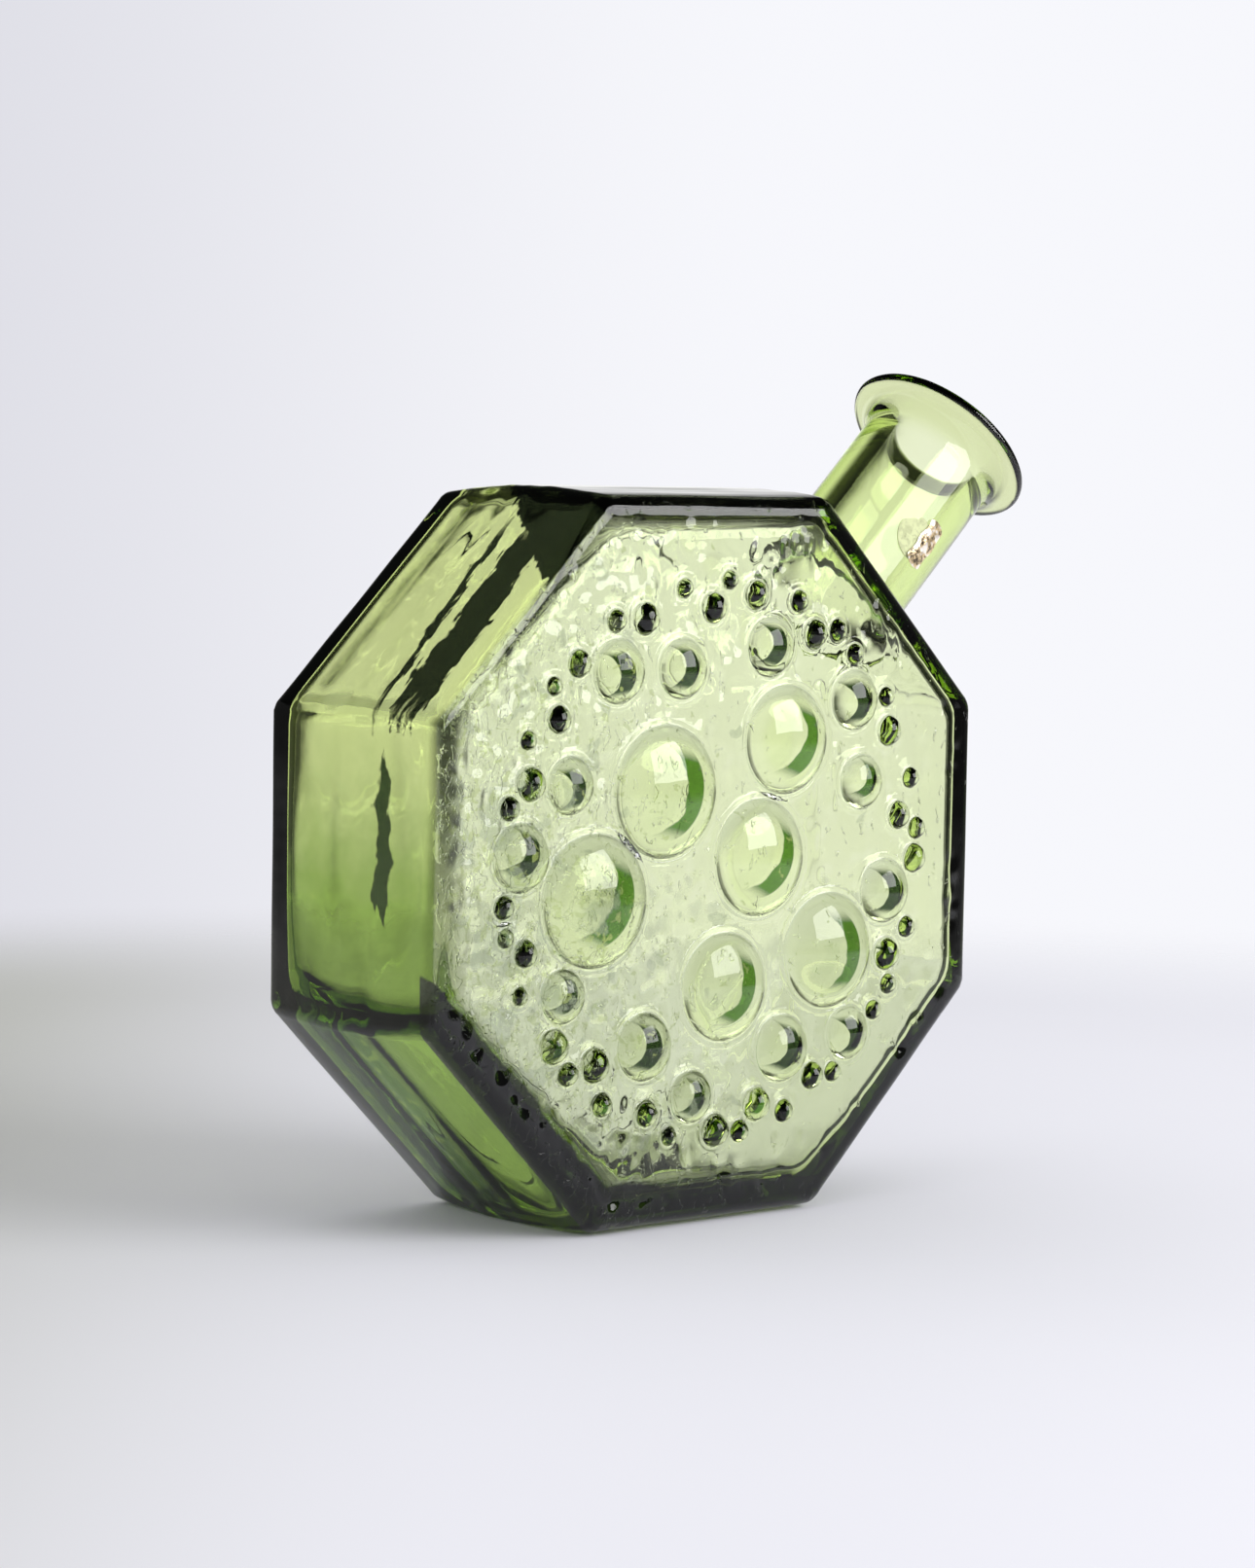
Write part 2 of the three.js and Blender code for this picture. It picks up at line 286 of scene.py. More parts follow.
class MarkSizes(bpy.types.PropertyGroup):
    """Where the tones and marks of the glass's skin lie, from the middle of the flask.

    A span says where a mark starts to show and where it shows in full."""

    side_skin: span("Side skin", "Towards a side, where its outer skin is", (0.0872, 0.088))
    face_skin: span("Face skin", "Towards the front, where its outer skin is", (0.0318, 0.0324))
    front_edge: span("Front edge", "Towards the front, where its edge begins", (0.0288, 0.0292))
    neck_foot: span("Neck foot", "Towards the neck, where the flask ends", (0.0925, 0.0929))
    lip: span("Lip", "Towards the neck, where the lip is", (0.1395, 0.1475))
    low: span("Low sides", "Downwards, where the sides get deeper", (-0.045, 0.012))
    low_waver: length("Low waver", "How far that waves up and down", 0.02)
    heel_depth: span("Heel depth", "Towards the back, where the heel is shaded", (-0.009, -0.004))
    pale: span("Pale face", "Towards the left, where the front is paler", (-0.02, 0.085))
    crescent_left: share("Crescent left", "Shift of the circle that a crescent lies outside", 0.56)
    crescent_right: share("Crescent right", "Shift of the circle that it lies inside", 0.37)
    crescent_width: share("Crescent width", "How much wider dark crescents are", 0.36)
    band: span("Band", "Downwards or to the heel, where the dark band is", (0.0794, 0.0802))
    band_lift: length("Band lift", "How much higher it is over the base", 0.001)
    band_run: span("Band run", "Towards the right, where it gets narrower", (-0.04, 0.045))
    band_taper: length("Band taper", "How much narrower", 0.0035)
    band_waver: length("Band waver", "How far its edge waves", 0.004)
    top: span("Top", "Upwards, where the bevel at the top is", (0.0866, 0.0872))
    top_depth: span("Top depth", "Towards the front, where that bevel is", (0.006, 0.01))
    rim: span("Rim", "Towards the right, where the dark rim is", (0.0853, 0.0859))
    rim_widening: length("Rim widening", "How much wider the rim is low down", 0.0012)
    stretch: span("Stretch", "How drawn out strokes and streak are along x, y and z", (1, 1, 7))
    stroke_start: span("Stroke start", "Along the upper left side", (-0.036, -0.02))
    stroke_end: span("Stroke end", "Along the upper left side", (0.034, 0.046))
    stroke_depth: length("Stroke depth", "Towards the front", 0.0195)
    stroke_width: length("Stroke width", "Half of it", 0.0055)
    hairline_depth: length("Hairline depth", "Towards the front", 0.0085)
    hairline_width: length("Hairline width", "Half of it", 0.0015)
    corner_depth: length("Corner depth", "Towards the front, of the dark corner", 0.033)
    corner_run: length("Corner run", "Of the dark corner down the upper left side", 0.008)
    streak_start: span("Streak start", "Upwards", (-0.014, -0.004))
    streak_end: span("Streak end", "Upwards", (0.018, 0.032))
    streak_depth: length("Streak depth", "Towards the front", 0.0155)
    streak_width: length("Streak width", "Half of it", 0.0034)


class SkinTones(bpy.types.PropertyGroup):
    """What the glass's skin lets through, mostly painted shade and painted reflection: the square root of
    each value passes
    """

    # Painted shade: the left sides darker green, and darker still low down
    side: colour("Side", "The left sides", (0.68, 0.7, 0.4))
    low_side_shade: colour("Low side", "The left sides low down", (0.12, 0.21, 0.03))
    lip: colour("Lip", "The lip", (0.78, 0.82, 0.58))
    heel_shade: colour("Heel shade", "Between the flecks of the heel", (0.04, 0.09, 0.02))
    pale_face: colour("Pale face", "The front's left part", (0.72, 0.74, 0.7))
    # Painted shade: the dark crescents inside the domes
    green_crescent: colour("Green crescent", "In the large domes", (0.02, 0.09, 0.003))
    dark_crescent: colour("Dark crescent", "In the other domes", (0.002, 0.006, 0.001))
    # Painted reflection: grey patches on the front
    grey_reflection: colour("Worn", "Grey patches on the front", (0.26, 0.3, 0.34))
    moss: colour("Moss", "Green patches on the front", (0.35, 0.42, 0.12))
    # Painted shade: band, top and rim darken the edges of the front
    band: colour("Band", "The band along base and heel", (0.01, 0.01, 0.016))
    top: colour("Top", "The bevel at the top", (0.02, 0.02, 0.03))
    rim: colour("Rim", "The rim at the right", (0.004, 0.005, 0.004))
    # Painted shade: the strokes and the dark corner of the upper left side
    stroke: colour("Stroke", "The strokes and the corner", (0.0008, 0.0012, 0.0006))
    # Painted shade: the streak in the left side
    streak: colour("Streak", "The streak in the left side", (0.003, 0.006, 0.002))


class StudioLook(bpy.types.PropertyGroup):
    """Light and backdrop"""

    floor: colour("Floor", "Colour of the floor", (0.87, 0.87, 0.935))
    # Painted shade: the floor darkens towards the left
    floor_left_shade: colour("Floor left", "Colour of the floor towards the left", (0.47, 0.48, 0.41))
    backdrop: colour("Backdrop", "Colour of the backdrop", (0.93, 0.935, 0.975))
    # Painted shade: the backdrop darkens towards the left
    backdrop_left_shade: colour("Backdrop left", "Colour of the backdrop towards the left", (0.72, 0.72, 0.78))
    fill: number("Fill light", "Strength of the light from all round", 0.7)
    key: number("Key light", "Power of the large lamp in watts", 18)
    key_width: length("Key width", "Of the large lamp", 1.05)
    key_height: length("Key height", "Of the large lamp", 1)
    key_place: span("Key place", "Of the large lamp", (0.66, -1.24, 0.68))
    key_target: span("Key target", "What the large lamp points at", (0, 0, 0.08))
    room_dark: colour("Room dark", "Dark parts of the room that the glass shows", (0.02, 0.022, 0.02))
    floor_radius: length("Floor radius", "Of the round floor", 0.8)
    floor_drop: length("Floor drop", "Of the floor below the vase's foot", 0.0002)
    floor_fade: span("Floor fade", "From the vase, where the floor fades out", (0.42, 0.75))


# Points, selections and modelling steps

def deselect():
    bpy.ops.object.select_all(action="DESELECT")


def make_active(piece):
    deselect()
    piece.select_set(True)
    bpy.context.view_layer.objects.active = piece


@contextmanager
def editing(piece, kind="VERT"):
    """Edit mode on one piece with nothing selected."""
    make_active(piece)
    bpy.ops.object.mode_set(mode="EDIT")
    bpy.ops.mesh.select_mode(type=kind)
    bpy.ops.mesh.select_all(action="DESELECT")
    yield
    bpy.ops.object.mode_set(mode="OBJECT")


def pick_all():
    bpy.ops.mesh.select_all(action="SELECT")


def pick_open_edges():
    bpy.ops.mesh.select_all(action="DESELECT")
    only_open = {"use_wire": False, "use_multi_face": False, "use_non_contiguous": False}
    bpy.ops.mesh.select_non_manifold(extend=False, **only_open)


def face_outwards():
    pick_all()
    bpy.ops.mesh.normals_make_consistent(inside=False)


def new_piece(name):
    """Names the primitive just added and puts its place into its mesh."""
    piece = bpy.context.object
    piece.name = name
    piece.data.name = name
    bpy.ops.object.transform_apply(location=True, rotation=True, scale=True)
    return piece


def points_of(piece, field="co"):
    values = np.empty(len(piece.data.vertices) * 3, np.float32)
    piece.data.vertices.foreach_get(field, values)
    return values.reshape(-1, 3).astype(float)


def place_points(piece, points):
    piece.data.vertices.foreach_set("co", points.astype(np.float32).ravel())
    piece.data.update()


def carve(piece, tool, operation):
    """Joins a tool into a piece or cuts it out of it, and deletes the tool."""
    make_active(piece)
    step = piece.modifiers.new(operation.lower(), "BOOLEAN")
    step.object = tool
    step.operation = operation
    step.solver = "MANIFOLD"
    bpy.ops.object.modifier_apply(modifier=step.name)
    bpy.data.objects.remove(tool)


def smooth_step(low, high, values):
    share_of = np.clip((values - low) / (high - low), 0, 1)
    return share_of * share_of * (3 - 2 * share_of)


# The flask

def centre_height(sizes):
    return sizes.body_width / 2 + sizes.foot_rise


def swell_at(sizes, y):
    """How far the sides stand out at a distance y from the seam."""
    return sizes.seam_rise * (1 - (np.abs(y) / (sizes.body_depth / 2)) ** SWELL_POWER)


def outline_reach(reaches, radius, angle):
    """How far the tangent that faces angle lies from the middle of a round-cornered outline."""
    side = int(angle / SIDE_TURN + 1e-6) % SIDES
    start = side * SIDE_TURN
    end = start + SIDE_TURN
    near = reaches[side] - radius
    far = reaches[(side + 1) % SIDES] - radius
    x = (near * math.sin(end) - far * math.sin(start)) / math.sin(SIDE_TURN)
    z = (far * math.cos(start) - near * math.cos(end)) / math.sin(SIDE_TURN)
    return x * math.cos(angle) + z * math.sin(angle) + radius


def face_sheet(name, sizes, reaches, radius, y, step):
    """A flat grid cut to the eight-sided outline, facing the front."""
    centre = Vector((0, y, centre_height(sizes)))
    width = 2 * (max(reaches) + step)
    count = math.ceil(width / step)
    deselect()
    upright = (math.pi / 2, 0, 0)
    bpy.ops.mesh.primitive_grid_add(
        x_subdivisions=count, y_subdivisions=count, size=width, location=centre, rotation=upright
    )
    sheet = new_piece(name)
    corner_steps = 4
    with editing(sheet):
        for cut in range(SIDES * corner_steps):
            angle = cut * SIDE_TURN / corner_steps
            facing = Vector((math.cos(angle), 0, math.sin(angle)))
            at = centre + facing * outline_reach(reaches, radius, angle)
            pick_all()
            bpy.ops.mesh.bisect(plane_co=at, plane_no=facing, clear_outer=True)
        pick_all()
        bpy.ops.mesh.remove_doubles(threshold=step / 6)
    return sheet


def grow_band(piece, sizes, rings):
    """Extrudes the piece's open edge through rings of (y, reach) round the middle of the flask."""
    middle = (0, 0, centre_height(sizes))
    with editing(piece, "EDGE"):
        pick_all()
        for (y, reach), (next_y, next_reach) in zip(rings, rings[1:]):
            bpy.ops.mesh.extrude_edges_move(TRANSFORM_OT_translate={"value": (0, next_y - y, 0)})
            factor = next_reach / reach
            bpy.ops.transform.resize(value=(factor, 1, factor), center_override=middle)


def band_rings(sizes, inset, edge, step):
    """(y, reach) of each ring from the front face's edge to the back face's edge."""
    half = sizes.body_depth / 2 - inset
    edge_steps = 6

    def ring(y, cut):
        return y, sizes.body_width / 2 - inset + swell_at(sizes, y) - cut

    front = []
    for count in range(edge_steps + 1):
        angle = math.pi / 2 * count / edge_steps
        front.append(ring(edge * (1 - math.cos(angle)) - half, edge * (1 - math.sin(angle))))
    run = half - edge
    count = math.ceil(run / step)
    front += [ring(-run * (1 - i / count), 0) for i in range(1, count)]
    front.append(ring(-step / 4, 0))
    return front + [ring(0, 0)] + [(-y, reach) for y, reach in reversed(front)]


def flask_block(name, sizes, walls, inset, rounding, fineness):
    """A closed flask form: a front sheet, a band round it and a back sheet."""
    edge, corner = rounding
    front_step, step = fineness
    half = sizes.body_depth / 2 - inset
    reaches = [sizes.body_width / 2 + swell_at(sizes, half) - wall - edge for wall in walls]
    front = face_sheet(name, sizes, reaches, corner - edge / 2, -half, front_step)
    with editing(front, "EDGE"):
        pick_open_edges()
        bpy.ops.mesh.duplicate()
        bpy.ops.mesh.separate(type="SELECTED")
    band = next(o for o in bpy.context.selected_objects if o is not front)
    rings = band_rings(sizes, inset, edge, step)
    grow_band(band, sizes, rings)
    back_gap = step * 1.5
    back_reaches = [reach - back_gap for reach in reaches]
    back = face_sheet(name + "_back", sizes, back_reaches, corner - edge / 2, half, step)
    make_active(front)
    band.select_set(True)
    back.select_set(True)
    bpy.ops.object.join()
    with editing(front, "EDGE"):
        pick_all()
        bpy.ops.mesh.remove_doubles(threshold=front_step / 20)
        pick_open_edges()
        bpy.ops.mesh.bridge_edge_loops()
        face_outwards()
    return front


# The relief

def dome_spots(sizes, relief):
    """Middle, radius and rise of each dome, wound outwards in even turns and pushed apart."""
    field = sizes.body_width / 2 - sizes.edge_radius - relief.border
    even_turn = math.pi * (3 - math.sqrt(5))
    spots = []
    for kind in DOME_KINDS:
        for i in range(getattr(relief, kind + "_count")):
            size = 1 + relief.variety * math.sin(i * 1.9)
            radius = getattr(relief, kind + "_radius") * size
            spots.append([0, 0, radius, getattr(relief, kind + "_rise") * size])
    plots = [(spot[2] + relief.gap) ** 2 for spot in spots]
    covered = 0
    for i, (spot, plot) in enumerate(zip(spots, plots)):
        distance = field * math.sqrt((covered + plot / 2) / sum(plots))
        spot[0] = distance * math.cos(i * even_turn)
        spot[1] = distance * math.sin(i * even_turn)
        covered += plot
    for _ in range(SPREAD_ROUNDS):
        push_apart(spots, relief.gap)
        for spot in spots:
            distance = math.hypot(spot[0], spot[1])
            limit = field - spot[2]
            if distance > limit:
                spot[0] *= limit / distance
                spot[1] *= limit / distance
    return spots


def push_apart(spots, gap):
    for i, a in enumerate(spots):
        for b in spots[i + 1 :]:
            apart = math.hypot(b[0] - a[0], b[1] - a[1])
            short = a[2] + b[2] + gap - apart
            if short > 0:
                part = a[2] ** 2 / (a[2] ** 2 + b[2] ** 2)
                dx = (b[0] - a[0]) / apart
                dz = (b[1] - a[1]) / apart
                a[0] -= dx * short * (1 - part)
                a[1] -= dz * short * (1 - part)
                b[0] += dx * short * part
                b[1] += dz * short * part


def dome_stack(facets, rings):
    """A closed stack of unit circles, one for each height 0, 1, 2 and so on, that ends in a pole."""
    deselect()
    bpy.ops.mesh.primitive_circle_add(vertices=facets, radius=1, fill_type="NGON")
    stack = new_piece("dome_stack")
    with editing(stack, "EDGE"):
        pick_all()
        for _ in range(rings - 1):
            bpy.ops.mesh.extrude_edges_move(TRANSFORM_OT_translate={"value": (0, 0, 1)})
        bpy.ops.mesh.merge(type="CENTER")
        face_outwards()
    return stack


def dome_profile(radius, rise, steps, power):
    """(radius, height) of each ring: a sunk foot, a low ridge, a hollow fillet and a round top."""
    ridge = rise * RIDGE_SHARE
    crowding = 1.2
    rings = [(radius + FOOT_REACH, -FOOT_DEPTH), (radius + FOOT_REACH, -MERGE)]
    rings += [(radius + out, ridge * part) for out, part in RIDGE_RINGS]
    for step in range(1, steps + 1):
        angle = math.pi / 2 * (step / steps) ** crowding
        rings.append((radius * math.cos(angle), rise * math.sin(angle) ** (2 * power)))
    return rings


def raise_domes(block, sizes, relief, spots):
    """Joins every dome into the front face, each a copy of one stack with its own rings."""
    start = 0
    for kind, (facets, steps, power, *_) in DOME_KINDS.items():
        count = getattr(relief, kind + "_count")
        stack = dome_stack(facets, steps + len(RIDGE_RINGS) + 2)
        turned = points_of(stack)
        level = np.rint(turned[:, 2]).astype(int)
        group = []
        for x, z, radius, rise in spots[start : start + count]:
            dome = stack.copy()
            dome.data = stack.data.copy()
            bpy.context.scene.collection.objects.link(dome)
            profile = np.array(dome_profile(radius, rise, steps, power))
            across = profile[level, 0:1] * turned[:, :2]
            forward = -sizes.body_depth / 2 - profile[level, 1]
            upward = centre_height(sizes) + z + across[:, 1]
            place_points(dome, np.stack([x + across[:, 0], forward, upward], axis=1))
            group.append(dome)
        bpy.data.objects.remove(stack)
        start += count
        make_active(group[0])
        for dome in group:
            dome.select_set(True)
        bpy.ops.object.join()
        carve(block, group[0], "UNION")


def ripples(points, lengths, seed):
    """Slow waves from about -1 to 0, with the given wave lengths along x, y and z."""
    draw = random.Random(SEEDS[seed])
    total = np.zeros(len(points))
    waves = 7
    for _ in range(waves):
        turn = [draw.gauss(0, 1) for _ in range(3)]
        size = math.sqrt(sum(t * t for t in turn))
        push = np.array([2 * math.pi * t / size / wave for t, wave in zip(turn, lengths)])
        total += np.sin(points @ push * draw.uniform(0.7, 1.5) + draw.uniform(0, 2 * math.pi))
    return np.clip(total / waves * 0.9 - 0.5, -1, 0)


def pebbles(x, z, sizes, relief, spots):
    """Height of the small marks, thickest on the left and low on the face."""
    draw = random.Random(SEEDS["pebbles"])
    fewest, most = 0.08, 0.98
    clearance = 1.05
    far = 3
    height = np.zeros_like(x)
    field = sizes.body_width / 2 - sizes.edge_radius
    made = 0
    while made < relief.pebble_count:
        px = draw.uniform(-field, field)
        pz = draw.uniform(-field, field)
        left = (field - px) / (2 * field)
        low = (field - pz) / (2 * field)
        if draw.random() > fewest + (most - fewest) * left**2.2 * (0.45 + 0.55 * low):
            continue
        if any(math.hypot(px - s[0], pz - s[1]) < s[2] * clearance for s in spots):
            continue
        made += 1
        wide = draw.uniform(*relief.pebble_width)
        tall = wide * draw.uniform(1, 2.2)
        rise = relief.pebble_height * draw.uniform(0.4, 1.3) * draw.choice((-1, -1, 1))
        close = (np.abs(x - px) < far * wide) & (np.abs(z - pz) < far * tall)
        spread = ((x[close] - px) / wide) ** 2 + ((z[close] - pz) / tall) ** 2
        height[close] += rise * np.exp(-spread)
    return height


def side_wind(x, z):
    """The octagon's side that each point belongs to, and the distance of that side's plane."""
    turn = np.arange(SIDES) * SIDE_TURN
    reach = np.outer(x, np.cos(turn)) + np.outer(z, np.sin(turn))
    return np.argmax(reach, axis=1), np.max(reach, axis=1)


def drag_marks(points, sizes, seed):
    """Waves drawn out along each side, from about -1 to 0."""
    x = points[:, 0]
    z = points[:, 2] - centre_height(sizes)
    side, _ = side_wind(x, z)
    along = -x * np.sin(side * SIDE_TURN) + z * np.cos(side * SIDE_TURN)
    flat = np.stack([along, points[:, 1], side * 0.3], axis=1)
    return ripples(flat, DRAG_WAVES, seed)


def wave_skin(points, normals, sizes, ripple, drag):
    """Sends slow waves through a skin and drawn-out ones through its sides, in place.

    Both are a height and a name among the seeds, the slow ones with their wave lengths between."""
    height, waves, seed = ripple
    points += normals * (height * ripples(points, waves, seed))[:, None]
    sides = 1 - np.abs(normals[:, 1:2]) ** 2
    height, seed = drag
    points += normals * sides * (height * drag_marks(points, sizes, seed))[:, None]


def mark_domes(vessel, sizes, relief, spots):
    """Gives each dome's skin its own flat coordinates from -1 to 1 and how dark its crescent of painted
    shade is.
    """
    points = points_of(vessel)
    raised = -sizes.body_depth / 2 - points[:, 1] > relief.ripple / 2
    outside = 2
    margin = 1.02
    across = np.full(len(points), outside, np.float32)
    upward = np.full(len(points), outside, np.float32)
    shade = np.zeros(len(points), np.float32)
    draw = random.Random(SEEDS["crescents"])
    kinds = [kind for kind in DOME_KINDS for _ in range(getattr(relief, kind + "_count"))]
    for kind, (x, z, radius, _) in zip(kinds, spots):
        *_, lead, darkness = DOME_KINDS[kind]
        turn = draw.uniform(-0.5, 0.2)
        u = (points[:, 0] - x) / radius
        v = (points[:, 2] - centre_height(sizes) - z) / radius
        own = (np.hypot(u, v) < margin) & raised
        across[own] = u[own] * math.cos(turn) + v[own] * math.sin(turn) + lead
        upward[own] = v[own] * math.cos(turn) - u[own] * math.sin(turn)
        shade[own] = draw.uniform(*darkness)
    for name, values in zip(DOME_LAYERS, (across, upward, shade)):
        layer = vessel.data.attributes.new(name, "FLOAT", "POINT")
        layer.data.foreach_set("value", values)


def hollow_domes(hollow, sizes, spots):
    """Lets the inner skin of the front follow the domes softly."""
    points = points_of(hollow)
    front = points[:, 1] < sizes.face_wall - sizes.body_depth / 2 + MERGE
    x = points[front, 0]
    z = points[front, 2] - centre_height(sizes)
    height = np.zeros_like(x)
    for cx, cz, radius, rise in spots:
        near = np.hypot(x - cx, z - cz) / radius
        height += sizes.follow * rise * np.clip(1 - near**2, 0, 1) ** 1.3
    points[front, 1] -= height
    place_points(hollow, points)


def settle_glass(hollow, sizes):
    """Fills the hollow's corners along the base and heel and moves it towards the neck."""
    points = points_of(hollow)
    x = points[:, 0]
    z = points[:, 2] - centre_height(sizes)
    turned = np.arctan2(z, x)
    middle = (HEEL_SIDE + BASE_SIDE) / 2 * SIDE_TURN
    away = np.abs((turned - middle + math.pi) % (2 * math.pi) - math.pi)
    low = 1 - smooth_step(SIDE_TURN, SIDE_TURN * 1.35, away)
    _, reach = side_wind(x, z)
    out = (reach / np.max(reach)) ** 8
    half = sizes.body_depth / 2 - sizes.face_wall
    near_face = smooth_step(0.25, 1, np.abs(points[:, 1]) / half)
    shrink = 1 - sizes.heel_fillet * low * out * near_face / np.maximum(reach, 0.001)
    points[:, 0] = x * shrink + sizes.gather
    points[:, 2] = z * shrink + centre_height(sizes) + sizes.gather
    place_points(hollow, points)


def dress_flask(flask, sizes, relief, spots):
    """Raises the pebbles from the front and sends slow waves through every side."""
    points = points_of(flask)
    normals = points_of(flask, "normal")
    half = sizes.body_depth / 2
    front = points[:, 1] < -half + sizes.edge_radius / 50
    x = points[front, 0]
    z = points[front, 2] - centre_height(sizes)
    _, reach = side_wind(x, z)
    edge_fade = smooth_step(0.0003, 0.003, sizes.body_width / 2 - sizes.edge_radius - reach)
    height = pebbles(x, z, sizes, relief, spots) * edge_fade
    slow = (relief.ripple, SKIN_WAVES, "skin")
    wave_skin(points, normals, sizes, slow, (relief.drag, "skin drag"))
    points[front, 1] -= height
    points[:, 1] = np.clip(points[:, 1], CAD_BOX[0].y, CAD_BOX[1].y)
    points[:, 2] = np.maximum(points[:, 2], 0)
    place_points(flask, points)


# The neck

def sleeve(name, neck, rings):
    """A closed round form along the neck, from rings of (radius, station)."""
    deselect()
    radius, station = rings[0]
    bpy.ops.mesh.primitive_circle_add(
        vertices=neck.facets, radius=radius, fill_type="NGON", location=(0, 0, station)
    )
    form = new_piece(name)
    with editing(form, "EDGE"):
        pick_all()
        for (radius, station), (next_radius, next_station) in zip(rings, rings[1:]):
            step = (0, 0, next_station - station)
            bpy.ops.mesh.extrude_edges_move(TRANSFORM_OT_translate={"value": step})
            factor = next_radius / radius
            bpy.ops.transform.resize(value=(factor, factor, 1), center_override=(0, 0, next_station))
        bpy.ops.mesh.edge_face_add()
        face_outwards()
    return form


def follow_side(form, sizes, start, end):
    """Lets a neck form's foot follow the side's slope away from the seam, less from start to end."""
    points = points_of(form)
    fall = swell_at(sizes, points[:, 1]) - sizes.seam_rise
    points[:, 2] += fall * (1 - smooth_step(start, end, points[:, 2]))
    place_points(form, points)


def onto_neck(piece, sizes, neck):
    """Turns a form from its own upright axis onto the neck's axis."""
    along = neck.shift * math.sin(NECK_SLANT)
    place = Matrix.Translation((along, 0, centre_height(sizes) - along))
    piece.data.transform(place @ Matrix.Rotation(NECK_SLANT, 4, "Y"))


def quarter(from_radius, from_station, to_radius, to_station, steps):
    """Rings along a quarter ellipse that turns from running up to running outwards."""
    rings = []
    for step in range(steps + 1):
        angle = math.pi / 2 * step / steps
        radius = to_radius - (to_radius - from_radius) * math.cos(angle)
        rings.append((radius, from_station + (to_station - from_station) * math.sin(angle)))
    return rings


def flare(bore, foot, mouth, lip):
    """Rings of the flared mouth, which opens ever faster and runs on a little past the lip."""
    rings = []
    wide = (mouth - bore) / (1 - math.cos(FLARE_TURN))
    high = (lip - foot) / math.sin(FLARE_TURN)
    for step in range(FLARE_STEPS + 1):
        angle = FLARE_TURN * step / FLARE_STEPS
        rings.append((bore + wide * (1 - math.cos(angle)), foot + high * math.sin(angle)))
    return rings + [(mouth + FLARE_OVERRUN, lip + FLARE_OVERRUN)]


def root(radius, station, size):
    """Rings of the hollow curve where a neck form of a radius rises from its side."""
    rings = []
    for step in range(ROOT_STEPS + 1):
        angle = math.pi / 2 * (ROOT_START + (1 - ROOT_START) * step / ROOT_STEPS)
        rings.append((radius + size * (1 - math.sin(angle)), station + size * (1 - math.cos(angle))))
    return rings


def straight(radius, low, high, steps):
    return [(radius, low + (high - low) * step / steps) for step in range(1, steps)]


def neck_forms(sizes, neck):
    """The solid outside of the neck and lip, and the hollow inside."""
    radius = neck.diameter / 2
    seam = sizes.body_width / 2 + sizes.seam_rise
    lip = seam + neck.length
    rim = neck.lip_thickness / 2
    rim_centre = radius + neck.lip_overhang - rim
    rings = [(radius + neck.root, seam - sizes.side_wall * 0.8)]
    rings += root(radius, seam, neck.root)
    under = lip - neck.lip_thickness
    rings += straight(radius, seam + neck.root, under - neck.lip_underside, OUTSIDE_STEPS)
    rings += quarter(radius, under - neck.lip_underside, rim_centre, under, UNDERSIDE_STEPS)
    for step in range(1, LIP_STEPS + 1):
        angle = math.pi * step / LIP_STEPS - math.pi / 2
        rings.append((rim_centre + rim * math.cos(angle), under + rim + rim * math.sin(angle)))
    outside = sleeve("neck_outside", neck, rings)
    follow_side(outside, sizes, seam + neck.root, seam + 4 * neck.root)

    bore = radius - neck.wall
    inner_side = seam - sizes.side_wall + sizes.gather * math.sqrt(2)
    funnel = neck.funnel
    rings = [(bore + funnel, inner_side - neck.funnel_foot)]
    rings += root(bore, inner_side, funnel)
    flare_foot = lip - neck.lip_flare
    rings += straight(bore, inner_side + funnel, flare_foot, BORE_STEPS)
    rings += flare(bore, flare_foot, rim_centre - neck.lip_edge, lip)
    hollow = sleeve("neck_hollow", neck, rings)
    follow_side(hollow, sizes, inner_side + funnel, inner_side + 3 * funnel)
    return outside, hollow


def glass_vessel(sizes, neck, relief):
    """The whole glass in one closed mesh: outer skin, walls, hollow and mouth."""
    spots = dome_spots(sizes, relief)
    walls = [sizes.side_wall] * SIDES
    walls[BASE_SIDE] = sizes.base_wall
    walls[HEEL_SIDE] = sizes.heel_wall
    walls[LEFT_SIDE] = sizes.left_wall
    walls[UPPER_LEFT_SIDE] = (sizes.left_wall + sizes.side_wall) / 2
    rounding = (sizes.edge_radius, sizes.corner_radius)
    fineness = (sizes.front_step, sizes.plain_step)
    vessel = flask_block("glass_vessel_clear", sizes, [0] * SIDES, 0, rounding, fineness)
    raise_domes(vessel, sizes, relief, spots)
    dress_flask(vessel, sizes, relief, spots)
    rounding = (sizes.inner_edge, sizes.inner_corner)
    fineness = (sizes.inner_step, sizes.plain_step)
    hollow = flask_block("flask_hollow", sizes, walls, sizes.face_wall, rounding, fineness)
    hollow_domes(hollow, sizes, spots)
    settle_glass(hollow, sizes)
    points = points_of(hollow)
    normals = points_of(hollow, "normal")
    slow = (relief.inner_ripple, INNER_WAVES, "inner")
    wave_skin(points, normals, sizes, slow, (2 * relief.drag, "inner drag"))
    place_points(hollow, points)
    outside, bore = neck_forms(sizes, neck)
    for form in (outside, bore):
        points = points_of(form)
        radius = np.hypot(points[:, 0], points[:, 1])
        points[:, :2] *= (1 + relief.ripple * ripples(points, NECK_WAVES, "neck") / radius)[:, None]
        place_points(form, points)
        onto_neck(form, sizes, neck)
    carve(vessel, outside, "UNION")
    carve(hollow, bore, "UNION")
    carve(vessel, hollow, "DIFFERENCE")
    with editing(vessel):
        pick_all()
        bpy.ops.mesh.remove_doubles(threshold=MERGE)
    bpy.ops.object.shade_smooth()
    mark_domes(vessel, sizes, relief, spots)
    return vessel


# The sticker

